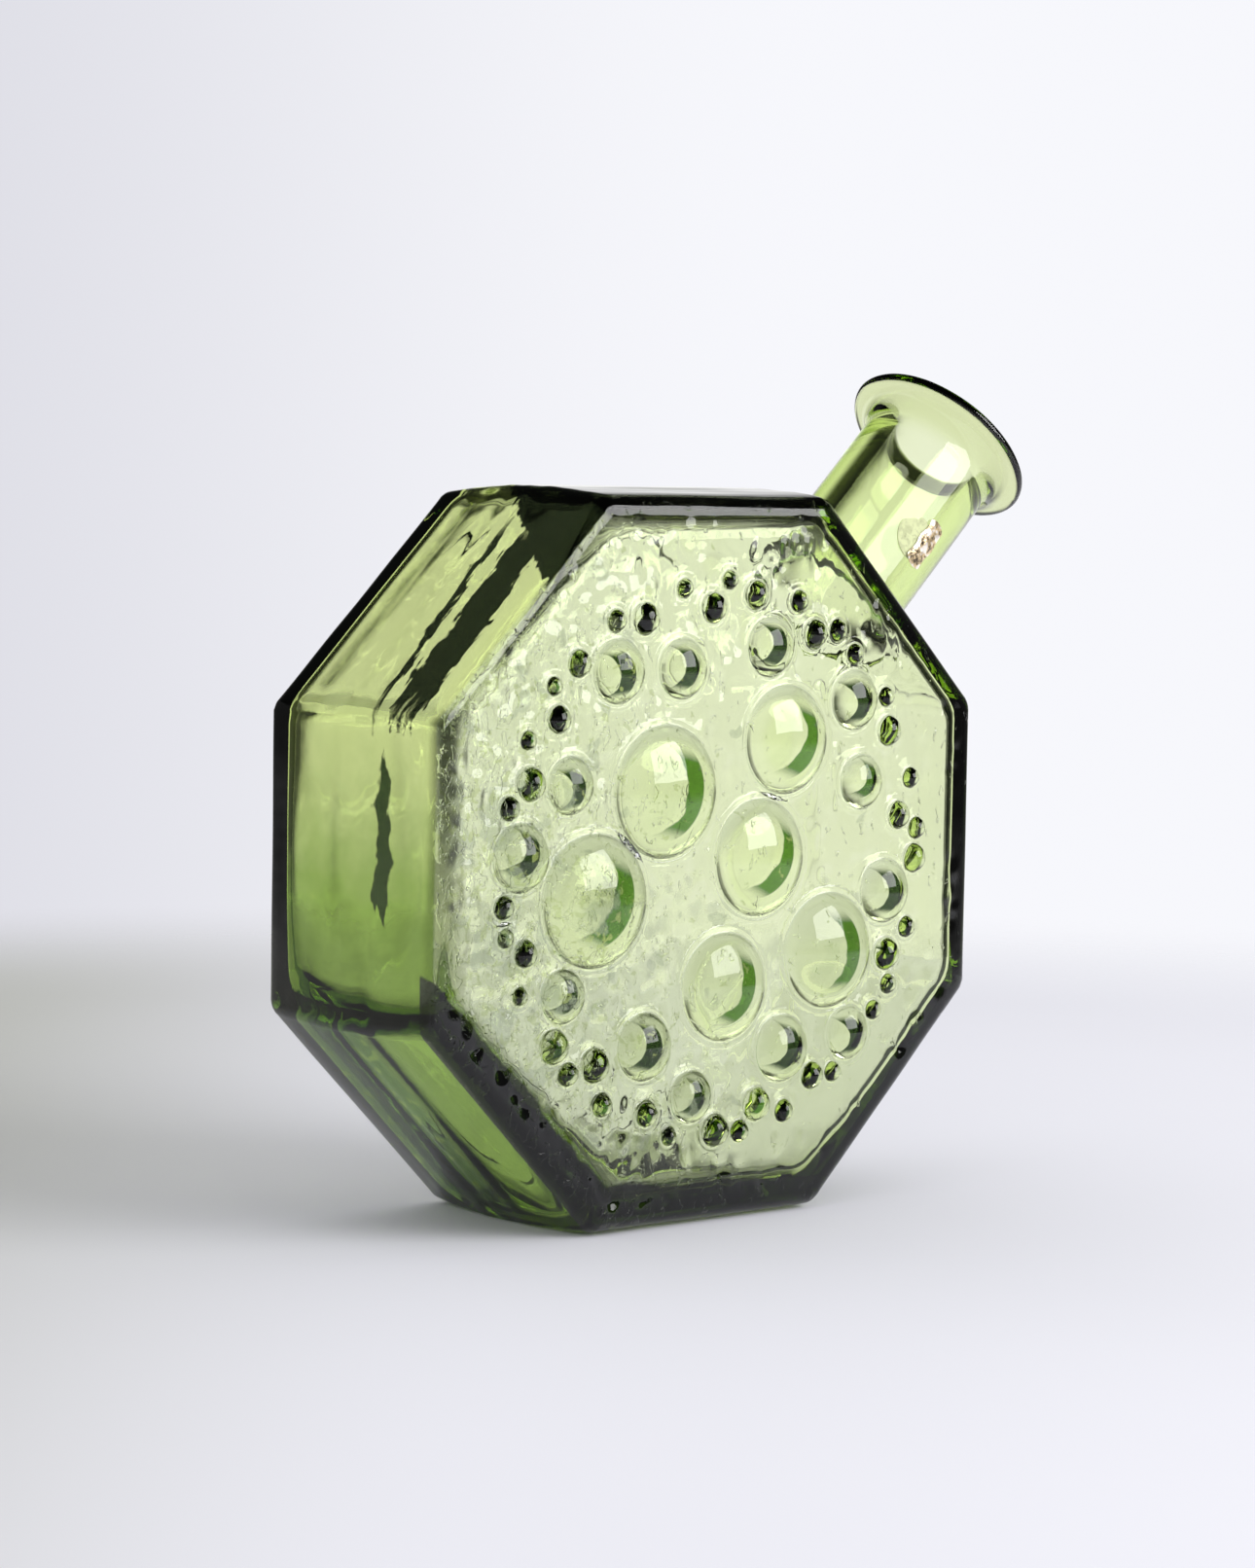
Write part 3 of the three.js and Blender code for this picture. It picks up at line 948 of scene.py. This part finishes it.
def rounded(u, v, roundness):
    """Squeezes a square from -1 to 1 towards a disc of radius 1, which it is at roundness 1."""
    return u * np.sqrt(1 - roundness * v * v / 2), v * np.sqrt(1 - roundness * u * u / 2)


def wrap_on_neck(piece, sizes, neck, sticker, turn, lift):
    """Bends a flat patch, drawn in x round and y along, round the outside of the neck."""
    points = points_of(piece)
    station = sizes.body_width / 2 + sizes.seam_rise + sticker.station
    radius = neck.diameter / 2 + lift
    angle = turn + points[:, 0] / (neck.diameter / 2)
    bent = np.stack([radius * np.sin(angle), -radius * np.cos(angle), station + points[:, 1]], axis=1)
    bent += points[:, 2:3] * np.stack([np.sin(angle), -np.cos(angle), np.zeros_like(angle)], axis=1)
    place_points(piece, bent)
    onto_neck(piece, sizes, neck)


def patch(name, width, length, steps, roundness):
    deselect()
    bpy.ops.mesh.primitive_grid_add(x_subdivisions=steps[0], y_subdivisions=steps[1], size=2)
    piece = new_piece(name)
    points = points_of(piece)
    u, v = rounded(points[:, 0], points[:, 1], roundness)
    points[:, 0] = u * width / 2
    points[:, 1] = v * length / 2
    place_points(piece, points)
    return piece


def thicken(piece, thickness):
    """Gives a sheet its thickness outwards and smooths it."""
    make_active(piece)
    step = piece.modifiers.new("thickness", "SOLIDIFY")
    step.thickness = thickness
    step.offset = 1
    bpy.ops.object.modifier_apply(modifier=step.name)
    bpy.ops.object.shade_smooth_by_angle(angle=SMOOTH_BEND)


def label_paper(sizes, neck, sticker):
    """A round adhesive patch, torn away along its top."""
    width = sticker.paper_width
    length = sticker.paper_length
    piece = patch("label_paper_worn", width, length, PAPER_POINTS, 1)
    points = points_of(piece)
    draw = random.Random(SEEDS["tear"])
    across = points[:, 0] / (width / 2)
    torn = np.full(len(points), 0.62) + 0.25 * across
    for wave in TEAR_WAVES:
        torn += sticker.tear / wave**0.75 * np.sin(across * wave + draw.uniform(0, 6))
    above = points[:, 1] > 0
    points[above, 1] *= torn[above]
    points[:, 2] = PAPER_RIPPLE * ripples(points, PAPER_WAVES, "paper")
    place_points(piece, points)
    wrap_on_neck(piece, sizes, neck, sticker, sticker.turn, sticker.paper_lift)
    thicken(piece, sticker.thickness)
    return piece


def label_foil(sizes, neck, sticker):
    """A crumpled strip of foil along the patch's lower side, rounded at its lower end."""
    width = sticker.foil_width
    length = sticker.foil_length
    piece = patch("label_foil_crumpled", width, length, FOIL_POINTS, FOIL_ROUNDNESS)
    points = points_of(piece)
    across = points[:, 0] / (width / 2)
    along = points[:, 1] / (length / 2)
    draw = random.Random(SEEDS["creases"])
    creases = np.zeros(len(points))
    for _ in range(CREASES):
        facing = draw.uniform(-1.2, 1.2)
        wave = draw.uniform(*CREASE_WAVES)
        run = points[:, 0] * math.cos(facing) + points[:, 1] * math.sin(facing)
        creases += wave * np.abs((run / wave + draw.random()) % 1 - 0.5)
    creases /= CREASES * CREASE_WAVES[0] / 2
    edge = np.maximum(np.abs(across), np.abs(along))
    points[:, 0] += 0.00025 * np.sin(along * 7 + 1) * across + 0.0004 * (1 - along * along)
    points[:, 2] = sticker.crease * creases * (1 - 0.5 * edge**4)
    place_points(piece, points)
    turn = sticker.turn + sticker.foil_offset / (neck.diameter / 2)
    wrap_on_neck(piece, sizes, neck, sticker, turn, sticker.foil_lift)
    thicken(piece, sticker.thickness * sticker.foil_thickness)
    return piece


# Nodes

class Value:
    """A number that changes over a surface: arithmetic on it adds Math nodes."""

    def __init__(self, shader, socket):
        self.shader = shader
        self.socket = socket

    def combine(self, operation, first, second=0.0):
        node = self.shader.node("ShaderNodeMath", {"operation": operation}, {0: first, 1: second})
        return Value(self.shader, node.outputs[0])

    def __add__(self, other):
        return self.combine("ADD", self, other)

    __radd__ = __add__

    def __sub__(self, other):
        return self.combine("SUBTRACT", self, other)

    def __rsub__(self, other):
        return self.combine("SUBTRACT", other, self)

    def __mul__(self, other):
        return self.combine("MULTIPLY", self, other)

    __rmul__ = __mul__

    def __neg__(self):
        return self * -1

    def __abs__(self):
        return self.combine("ABSOLUTE", self)

    def most(self, other):
        return self.combine("MAXIMUM", self, other)


class Shader:
    """The node tree of one material or of the world."""

    def __init__(self, owner):
        owner.use_nodes = True
        self.tree = owner.node_tree
        self.tree.nodes.clear()

    def node(self, kind, settings=None, inputs=None):
        """Adds a node, sets its settings first and then the values or links of its sockets."""
        node = self.tree.nodes.new(kind)
        for name, value in (settings or {}).items():
            setattr(node, name, value)
        for name, value in (inputs or {}).items():
            source = value.socket if isinstance(value, Value) else value
            if isinstance(source, bpy.types.NodeSocket):
                self.tree.links.new(source, node.inputs[name])
            else:
                node.inputs[name].default_value = source
        return node

    def value(self, kind, settings=None, inputs=None, output=0):
        return Value(self, self.node(kind, settings, inputs).outputs[output])

    def noise(self, vector, scale, detail, distortion=0.0):
        inputs = {"Vector": vector, "Scale": scale, "Detail": detail, "Distortion": distortion}
        return self.value("ShaderNodeTexNoise", None, inputs)

    def dot(self, vector, direction):
        """How far a vector reaches in a direction."""
        settings = {"operation": "DOT_PRODUCT"}
        return self.value("ShaderNodeVectorMath", settings, {0: vector, 1: direction}, "Value")

    def split(self, vector):
        outputs = self.node("ShaderNodeSeparateXYZ", None, {"Vector": vector}).outputs
        return [Value(self, outputs[axis]) for axis in "XYZ"]

    def stretched(self, vector, scale, rotation=(0, 0, 0), kind="TEXTURE"):
        inputs = {"Vector": vector, "Rotation": rotation, "Scale": scale}
        return self.node("ShaderNodeMapping", {"vector_type": kind}, inputs).outputs[0]

    def bump(self, height, strength, distance):
        inputs = {"Height": height, "Strength": strength, "Distance": distance}
        return self.node("ShaderNodeBump", None, inputs).outputs["Normal"]

    def ramp(self, factor, low, high):
        """A soft step from 0 at low to 1 at high."""
        settings = {"interpolation_type": "SMOOTHSTEP"}
        inputs = {"Value": factor, "From Min": low, "From Max": high}
        return self.value("ShaderNodeMapRange", settings, inputs, "Result")

    def blend(self, factor, first, second):
        """A colour between two colours, each a triple or a socket."""
        ends = [end if isinstance(end, bpy.types.NodeSocket) else (*end, 1) for end in (first, second)]
        inputs = {"Factor": factor, "A": ends[0], "B": ends[1]}
        return self.node("ShaderNodeMix", {"data_type": "RGBA"}, inputs).outputs["Result"]

    def finish(self, surface, volume=None):
        is_world = self.tree.id_data.name in bpy.data.worlds
        output = self.node("ShaderNodeOutputWorld" if is_world else "ShaderNodeOutputMaterial")
        self.tree.links.new(surface, output.inputs["Surface"])
        if volume:
            self.tree.links.new(volume, output.inputs["Volume"])


def new_shader(name):
    """A material, its shader and the socket of its object coordinates."""
    material = bpy.data.materials.new(name)
    shader = Shader(material)
    return material, shader, shader.node("ShaderNodeTexCoord").outputs["Object"]


# The skin of the glass

class Skin:
    """Where a point of the outer skin lies, from the middle of the flask."""

    def __init__(self, shader, sizes, coordinates):
        ends = {0: coordinates, 1: (0, 0, centre_height(sizes))}
        self.shader = shader
        self.coordinates = coordinates
        self.place = shader.node("ShaderNodeVectorMath", {"operation": "SUBTRACT"}, ends).outputs[0]
        self.across, self.depth, self.height = shader.split(self.place)
        self.forward = -self.depth
        self.base = -self.height
        self.left = self.towards(LEFT_SIDE)
        self.upper = self.towards(UPPER_LEFT_SIDE)
        self.heel = self.towards(HEEL_SIDE)
        self.neck = self.towards(NECK_SIDE)
        self.drift = shader.noise(coordinates, scale=110, detail=3) - 0.5

    def towards(self, side):
        """How far the point lies towards one of the flask's sides."""
        turn = side * SIDE_TURN
        return self.shader.dot(self.place, (math.cos(turn), 0, math.sin(turn)))


def side_tones(skin, marks, tones, tone):
    """The left sides in painted shade, deeper green low down, the lip, and bright flecks between painted
    shade in the heel.
    """
    shader = skin.shader
    on_sides = shader.ramp(skin.left.most(skin.upper).most(skin.heel), *marks.side_skin)
    low = shader.ramp(skin.base + skin.drift * marks.low_waver, *marks.low)
    # Painted shade on the left sides, deeper low down
    tone = shader.blend(on_sides, tone, tones.side)
    tone = shader.blend(on_sides * low, tone, tones.low_side_shade)
    tone = shader.blend(shader.ramp(skin.neck, *marks.lip), tone, tones.lip)
    flecks = shader.ramp(shader.noise(skin.coordinates, scale=260, detail=2), 0.57, 0.6)
    deep = shader.ramp(skin.depth, *marks.heel_depth) * shader.ramp(skin.heel, *marks.side_skin)
    return shader.blend(deep * (1 - flecks), tone, tones.heel_shade)


def crescents(skin, marks, tones, tone):
    """A crescent of painted shade in each dome, for the dark room seen through it: inside a circle on the
    right and outside one on the left.
    """
    shader = skin.shader
    across, upward, shade = (
        shader.value("ShaderNodeAttribute", {"attribute_name": name}, None, "Fac") for name in DOME_LAYERS
    )
    left = across + marks.crescent_left + shade * marks.crescent_width + skin.drift * 0.4
    right = across + marks.crescent_right
    outside = shader.ramp(left * left + upward * upward, 0.61, 0.67)
    inside = 1 - shader.ramp(right * right + upward * upward, 0.68, 0.74)
    crescent = outside * inside * (1 - shader.ramp(abs(upward), 0.5, 0.75))
    # Painted shade: green crescents in the large domes, near black in the others
    tone = shader.blend(crescent * shader.ramp(shade, 0.1, 0.3), tone, tones.green_crescent)
    return shader.blend(crescent * shader.ramp(shade, 0.5, 0.7), tone, tones.dark_crescent)


def face_tones(skin, marks, tones, tone):
    """The front: paler towards the left, crescents of painted shade in the domes, grey patches of painted
    reflection and mossy patches.
    """
    shader = skin.shader
    face = shader.ramp(skin.forward, *marks.face_skin)
    leftness = shader.ramp(skin.base * 0.3 - skin.across, *marks.pale)
    tone = shader.blend(face * leftness, tone, tones.pale_face)
    tone = crescents(skin, marks, tones, tone)
    clouds = shader.noise(skin.coordinates, scale=110, detail=6, distortion=0.3)
    # Painted reflection: grey patches on the front, most towards the left
    grey_reflection = shader.ramp(clouds + leftness * 0.17, 0.69, 0.73) * face
    tone = shader.blend(grey_reflection * 0.5, tone, tones.grey_reflection)
    islands = shader.noise(skin.coordinates, scale=360, detail=4, distortion=0.8)
    moss = shader.ramp(islands + leftness * 0.12, 0.66, 0.72) * face
    return shader.blend(moss * 0.5, tone, tones.moss)


def edge_shade(skin, marks, tones, tone):
    """Painted shade: the dark band along base and heel, the bevel at the top and the rim at the right."""
    shader = skin.shader
    front = shader.ramp(skin.forward, *marks.front_edge)
    on_flask = 1 - shader.ramp(skin.neck, *marks.neck_foot)
    taper = shader.ramp(skin.across, *marks.band_run) * marks.band_taper
    low = skin.heel.most(skin.base + marks.band_lift) - taper + skin.drift * marks.band_waver
    # Painted shade: the dark band along base and heel
    tone = shader.blend(shader.ramp(low, *marks.band) * front, tone, tones.band)
    # Painted shade: the bevel at the top
    top = shader.ramp(skin.height, *marks.top) * shader.ramp(skin.forward, *marks.top_depth)
    tone = shader.blend(top * on_flask, tone, tones.top)
    # Painted shade: the dark rim at the right
    lower_right = skin.towards(LOWER_RIGHT_SIDE) + marks.rim_widening
    right = skin.towards(RIGHT_SIDE).most(skin.neck).most(lower_right)
    rim = shader.ramp(right, *marks.rim) * on_flask
    return shader.blend(rim * front, tone, tones.rim)


def shade_strokes(skin, marks, tones, tone):
    """Painted shade: two strokes along the upper left side and its upper corner, with ragged ends."""
    shader = skin.shader
    along = shader.stretched(skin.place, marks.stretch, rotation=(0, SIDE_TURN, 0))
    hair = shader.noise(along, scale=700, detail=3) - 0.5
    ragged = hair * 0.006 + skin.drift * 0.009
    start = shader.ramp(skin.heel + hair * 0.01, *marks.stroke_start)
    end = shader.ramp(skin.heel + hair * 0.03, *marks.stroke_end)
    body = start * (1 - end)
    off_wide = abs(skin.depth + marks.stroke_depth + skin.heel * 0.05)
    off_thin = abs(skin.depth + marks.hairline_depth + skin.heel * 0.08 + skin.drift * 0.006)
    wide = marks.stroke_width * body - off_wide + ragged
    thin = marks.hairline_width * body - off_thin + hair * 0.006
    strokes = shader.ramp(wide.most(thin), 0, 0.0004) * body
    from_corner = (skin.forward - marks.corner_depth) * 0.8 - marks.corner_run - skin.heel
    corner = shader.ramp(from_corner + ragged, 0, 0.0006)
    on_side = shader.ramp(skin.upper, *marks.side_skin)
    return shader.blend(strokes.most(corner) * on_side, tone, tones.stroke)


def side_streak(skin, marks, tones, tone):
    """A painted shade streak, upright in the left side."""
    shader = skin.shader
    upright = shader.stretched(skin.place, marks.stretch)
    grain = shader.noise(upright, scale=500, detail=3) - 0.5
    start = shader.ramp(skin.height + grain * 0.01, *marks.streak_start)
    end = shader.ramp(skin.height + grain * 0.02, *marks.streak_end)
    off_streak = abs(skin.depth + marks.streak_depth + skin.drift * 0.009)
    streak = marks.streak_width * start * (1 - end) - off_streak + grain * 0.004
    on_side = shader.ramp(skin.left, *marks.side_skin)
    return shader.blend(shader.ramp(streak, 0, 0.0008) * on_side, tone, tones.streak)


def glass_material(sizes, look, marks, tones):
    """Clear green glass: its colour comes from its depth, its skin has painted shade and painted
    reflection, seeds and drag.
    """
    material, shader, coordinates = new_shader("green_glass")
    skin = Skin(shader, sizes, coordinates)
    tone = (1, 1, 1)
    for paint in (side_tones, face_tones, edge_shade, shade_strokes, side_streak):
        tone = paint(skin, marks, tones, tone)
    across, depth, height = shader.split(coordinates)
    half = sizes.body_depth / 2
    front = shader.ramp(-depth, half - 0.0015, half - 0.0002)
    leftness = shader.ramp(-across - height * 0.25, -0.045, 0.06)
    flattened = shader.stretched(coordinates, (1, 1, 0.6), kind="POINT")
    blots = shader.noise(flattened, scale=420, detail=3, distortion=0.6)
    crowd = shader.noise(coordinates, scale=75, detail=2)
    threshold = 0.7 - leftness * 0.13 - crowd * 0.08
    pits = shader.ramp(blots - threshold, 0, 0.035) * front
    drag = shader.noise(coordinates, scale=70, detail=2)
    inputs = {
        "Base Color": tone,
        "Roughness": 0.0,
        "IOR": look.glass_index,
        "Transmission Weight": 1.0,
        "Normal": shader.bump(drag * 0.25 + pits * 0.8, strength=0.45, distance=0.0008),
    }
    surface = shader.node("ShaderNodeBsdfPrincipled", None, inputs)
    inputs = {"Color": (*look.glass_tint, 1), "Density": look.glass_density}
    depth = shader.node("ShaderNodeVolumeAbsorption", None, inputs)
    shader.finish(surface.outputs[0], depth.outputs[0])
    return material


# The sticker's materials

def paper_material(look):
    """Worn adhesive paper: blotched, matt, with darker dirt in its pores."""
    material, shader, coordinates = new_shader("sticker_paper")
    blotch = shader.noise(coordinates, scale=420, detail=6)
    pores = shader.noise(coordinates, scale=1900, detail=3)
    dirt = shader.ramp(pores, 0.55, 0.7) * 0.6 + shader.ramp(blotch, 0.48, 0.6) * 0.4
    pale = [min(1, part * 1.12) for part in look.paper]
    dark = [part * 0.62 for part in look.paper]
    inputs = {
        "Base Color": shader.blend(dirt, pale, dark),
        "Roughness": 0.7 + blotch * 0.2,
        "Normal": shader.bump(pores, strength=0.5, distance=0.0001),
    }
    shader.finish(shader.node("ShaderNodeBsdfPrincipled", None, inputs).outputs[0])
    return material


def foil_material(look):
    """Gold foil, pale in patches of painted highlight and dark brown in other patches."""
    material, shader, coordinates = new_shader("sticker_foil")
    patches = shader.noise(coordinates, scale=420, detail=5)
    specks = shader.noise(coordinates, scale=2600, detail=2)
    # Painted highlight in pale patches
    highlit = shader.ramp(patches, 0.5, 0.56)
    # Near-black patches, less metallic
    dimmed = shader.ramp(specks * 0.4 + (1 - patches) * 0.6, 0.53, 0.56)
    gold = shader.blend(highlit, look.foil, look.foil_highlit)
    inputs = {
        "Base Color": shader.blend(dimmed * 0.95, gold, look.foil_dimmed),
        "Metallic": 0.6 - dimmed * 0.4,
        "Roughness": 0.1 + patches * 0.2,
        "Normal": shader.bump(specks, strength=0.35, distance=0.0001),
    }
    shader.finish(shader.node("ShaderNodeBsdfPrincipled", None, inputs).outputs[0])
    return material


# Stage

def world_light(studio):
    """A pale room for the camera and the glass, with a dark ceiling, and plain light for the rest."""
    world = bpy.data.worlds.new("studio_world")
    bpy.context.scene.world = world
    shader = Shader(world)
    direction = shader.node("ShaderNodeTexCoord").outputs["Generated"]
    height = shader.split(direction)[2]
    left = shader.dot(direction, LEFT)
    behind = shader.dot(direction, TOWARDS_CAMERA)
    above_floor = shader.ramp(height, -0.2, -0.06)
    ceiling = shader.ramp(height, 0.08, 0.42)
    left_flag = shader.ramp(left, 0.08, 0.42) * above_floor * 0.94
    right_flag = shader.ramp(-left, 0.3, 0.6) * above_floor * 0.92
    room_side = shader.ramp(behind, -0.35, 0.3) * above_floor * 0.85
    dark = ceiling.most(left_flag).most(room_side).most(right_flag)
    room = shader.blend(dark, (1, 1, 1), studio.room_dark)
    # Painted shade: the backdrop darker towards the left
    backdrop = shader.blend(shader.ramp(left, -0.05, 0.2), studio.backdrop, studio.backdrop_left_shade)
    path = shader.node("ShaderNodeLightPath").outputs
    rays = ("Is Camera Ray", "Is Glossy Ray", "Is Transmission Ray")
    camera, glossy, through = (Value(shader, path[name]) for name in rays)
    shown = {"Color": shader.blend(camera, room, backdrop), "Strength": 1.0}
    light = {"Color": (1, 1, 1, 1), "Strength": studio.fill}
    ends = [shader.node("ShaderNodeBackground", None, inputs).outputs[0] for inputs in (light, shown)]
    looks = camera.most(glossy).most(through)
    mix = shader.node("ShaderNodeMixShader", None, {0: looks, 1: ends[0], 2: ends[1]})
    shader.finish(mix.outputs[0])


def floor_material(studio):
    """Matt pale paper that fades into the backdrop, darkened towards the left by painted shade."""
    material, shader, coordinates = new_shader("floor_paper")
    # Painted shade towards the left
    left = shader.ramp(shader.dot(coordinates, LEFT), 0.02, 0.28)
    sweep = shader.blend(left, studio.floor, studio.floor_left_shade)
    grain = shader.noise(coordinates, scale=3, detail=3)
    tone = shader.blend(grain * 0.4, sweep, [part * 0.85 for part in studio.floor])
    paper = shader.node("ShaderNodeBsdfDiffuse", None, {"Color": tone}).outputs[0]
    clear = shader.node("ShaderNodeBsdfTransparent").outputs[0]
    reach = shader.value("ShaderNodeVectorMath", {"operation": "LENGTH"}, {0: coordinates}, "Value")
    fade = shader.ramp(reach, *studio.floor_fade)
    mix = shader.node("ShaderNodeMixShader", None, {0: fade, 1: paper, 2: clear})
    shader.finish(mix.outputs[0])
    return material


def add_floor(studio):
    deselect()
    bpy.ops.mesh.primitive_circle_add(
        vertices=64, radius=studio.floor_radius, fill_type="NGON", location=(0, 0, -studio.floor_drop)
    )
    floor = new_piece("floor")
    floor.data.materials.append(floor_material(studio))


def add_lamp(studio):
    """A large soft lamp to the right of the camera, which the domes mirror."""
    data = bpy.data.lights.new("key_softbox", "AREA")
    data.shape = "RECTANGLE"
    data.size = studio.key_width
    data.size_y = studio.key_height
    data.energy = studio.key
    lamp = bpy.data.objects.new("key_softbox", data)
    bpy.context.scene.collection.objects.link(lamp)
    lamp.location = studio.key_place
    towards_vase = Vector(studio.key_target) - Vector(studio.key_place)
    lamp.rotation_euler = towards_vase.to_track_quat("-Z", "Y").to_euler()


def add_camera():
    """The camera at the photograph's place and lens."""
    yaw, pitch, roll = (math.radians(a) for a in CAMERA_ANGLES)
    forward = Vector((math.sin(yaw) * math.cos(pitch), math.cos(yaw) * math.cos(pitch), -math.sin(pitch)))
    level = Vector((math.cos(yaw), -math.sin(yaw), 0))
    upright = level.cross(forward)
    right = math.cos(roll) * level + math.sin(roll) * upright
    up = math.cos(roll) * upright - math.sin(roll) * level
    data = bpy.data.cameras.new("photo_camera")
    data.lens = CAMERA_LENS
    data.sensor_width = 36
    data.clip_start = 0.01
    camera = bpy.data.objects.new("photo_camera", data)
    bpy.context.scene.collection.objects.link(camera)
    turn = Matrix((right, up, -forward)).transposed().to_4x4()
    camera.matrix_world = Matrix.Translation(CAMERA_PLACE) @ turn
    bpy.context.scene.camera = camera


# Operators

class VASE_OT_glass_vessel(bpy.types.Operator):
    """Build the flask, neck and lip as one hollow glass"""

    bl_idname = "vase.glass_vessel"
    bl_label = "Glass vessel"

    def execute(self, context):
        scene = context.scene
        vessel = glass_vessel(scene.vase_flask, scene.vase_neck, scene.vase_relief)
        vessel.data.materials.clear()
        glass = glass_material(scene.vase_flask, scene.vase_look, scene.vase_marks, scene.vase_tones)
        vessel.data.materials.append(glass)
        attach(vessel, "root")
        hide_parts("glass_vessel")
        return {"FINISHED"}


class VASE_OT_sticker(bpy.types.Operator):
    """Build what is left of the paper and foil sticker"""

    bl_idname = "vase.sticker"
    bl_label = "Sticker remains"

    def execute(self, context):
        scene = context.scene
        for node, make, finish in (
            ("label_paper", label_paper, paper_material),
            ("label_foil", label_foil, foil_material),
        ):
            piece = make(scene.vase_flask, scene.vase_neck, scene.vase_sticker)
            piece.data.materials.clear()
            piece.data.materials.append(finish(scene.vase_look))
            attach(piece, "root")
            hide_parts(node)
        return {"FINISHED"}


class VASE_OT_studio(bpy.types.Operator):
    """Set the floor, the backdrop, the lamp and the camera"""

    bl_idname = "vase.studio"
    bl_label = "Studio"

    def execute(self, context):
        studio = context.scene.vase_studio
        world_light(studio)
        add_floor(studio)
        add_lamp(studio)
        add_camera()
        context.scene.view_settings.view_transform = "Standard"
        return {"FINISHED"}


class VASE_PT_sidebar(bpy.types.Panel):
    """The vase's pieces, one button each"""

    bl_label = "Glass Vase"
    bl_idname = "VASE_PT_sidebar"
    bl_space_type = "VIEW_3D"
    bl_region_type = "UI"
    bl_category = "Vase"

    def draw(self, context):
        for operator in OPERATORS:
            self.layout.operator(operator.bl_idname)


SETTINGS = {
    "vase_flask": FlaskSizes,
    "vase_neck": NeckSizes,
    "vase_relief": ReliefSizes,
    "vase_sticker": StickerSizes,
    "vase_look": VaseLook,
    "vase_marks": MarkSizes,
    "vase_tones": SkinTones,
    "vase_studio": StudioLook,
}
OPERATORS = (VASE_OT_glass_vessel, VASE_OT_sticker, VASE_OT_studio)


def register():
    for group in (*SETTINGS.values(), *OPERATORS, VASE_PT_sidebar):
        bpy.utils.register_class(group)
    for name, group in SETTINGS.items():
        setattr(bpy.types.Scene, name, PointerProperty(type=group))


def unregister():
    for name in SETTINGS:
        delattr(bpy.types.Scene, name)
    for group in reversed((*SETTINGS.values(), *OPERATORS, VASE_PT_sidebar)):
        bpy.utils.unregister_class(group)


def main():
    register()
    bpy.ops.vase.glass_vessel()
    bpy.ops.vase.sticker()
    bpy.ops.vase.studio()


if __name__ == "__main__":
    main()
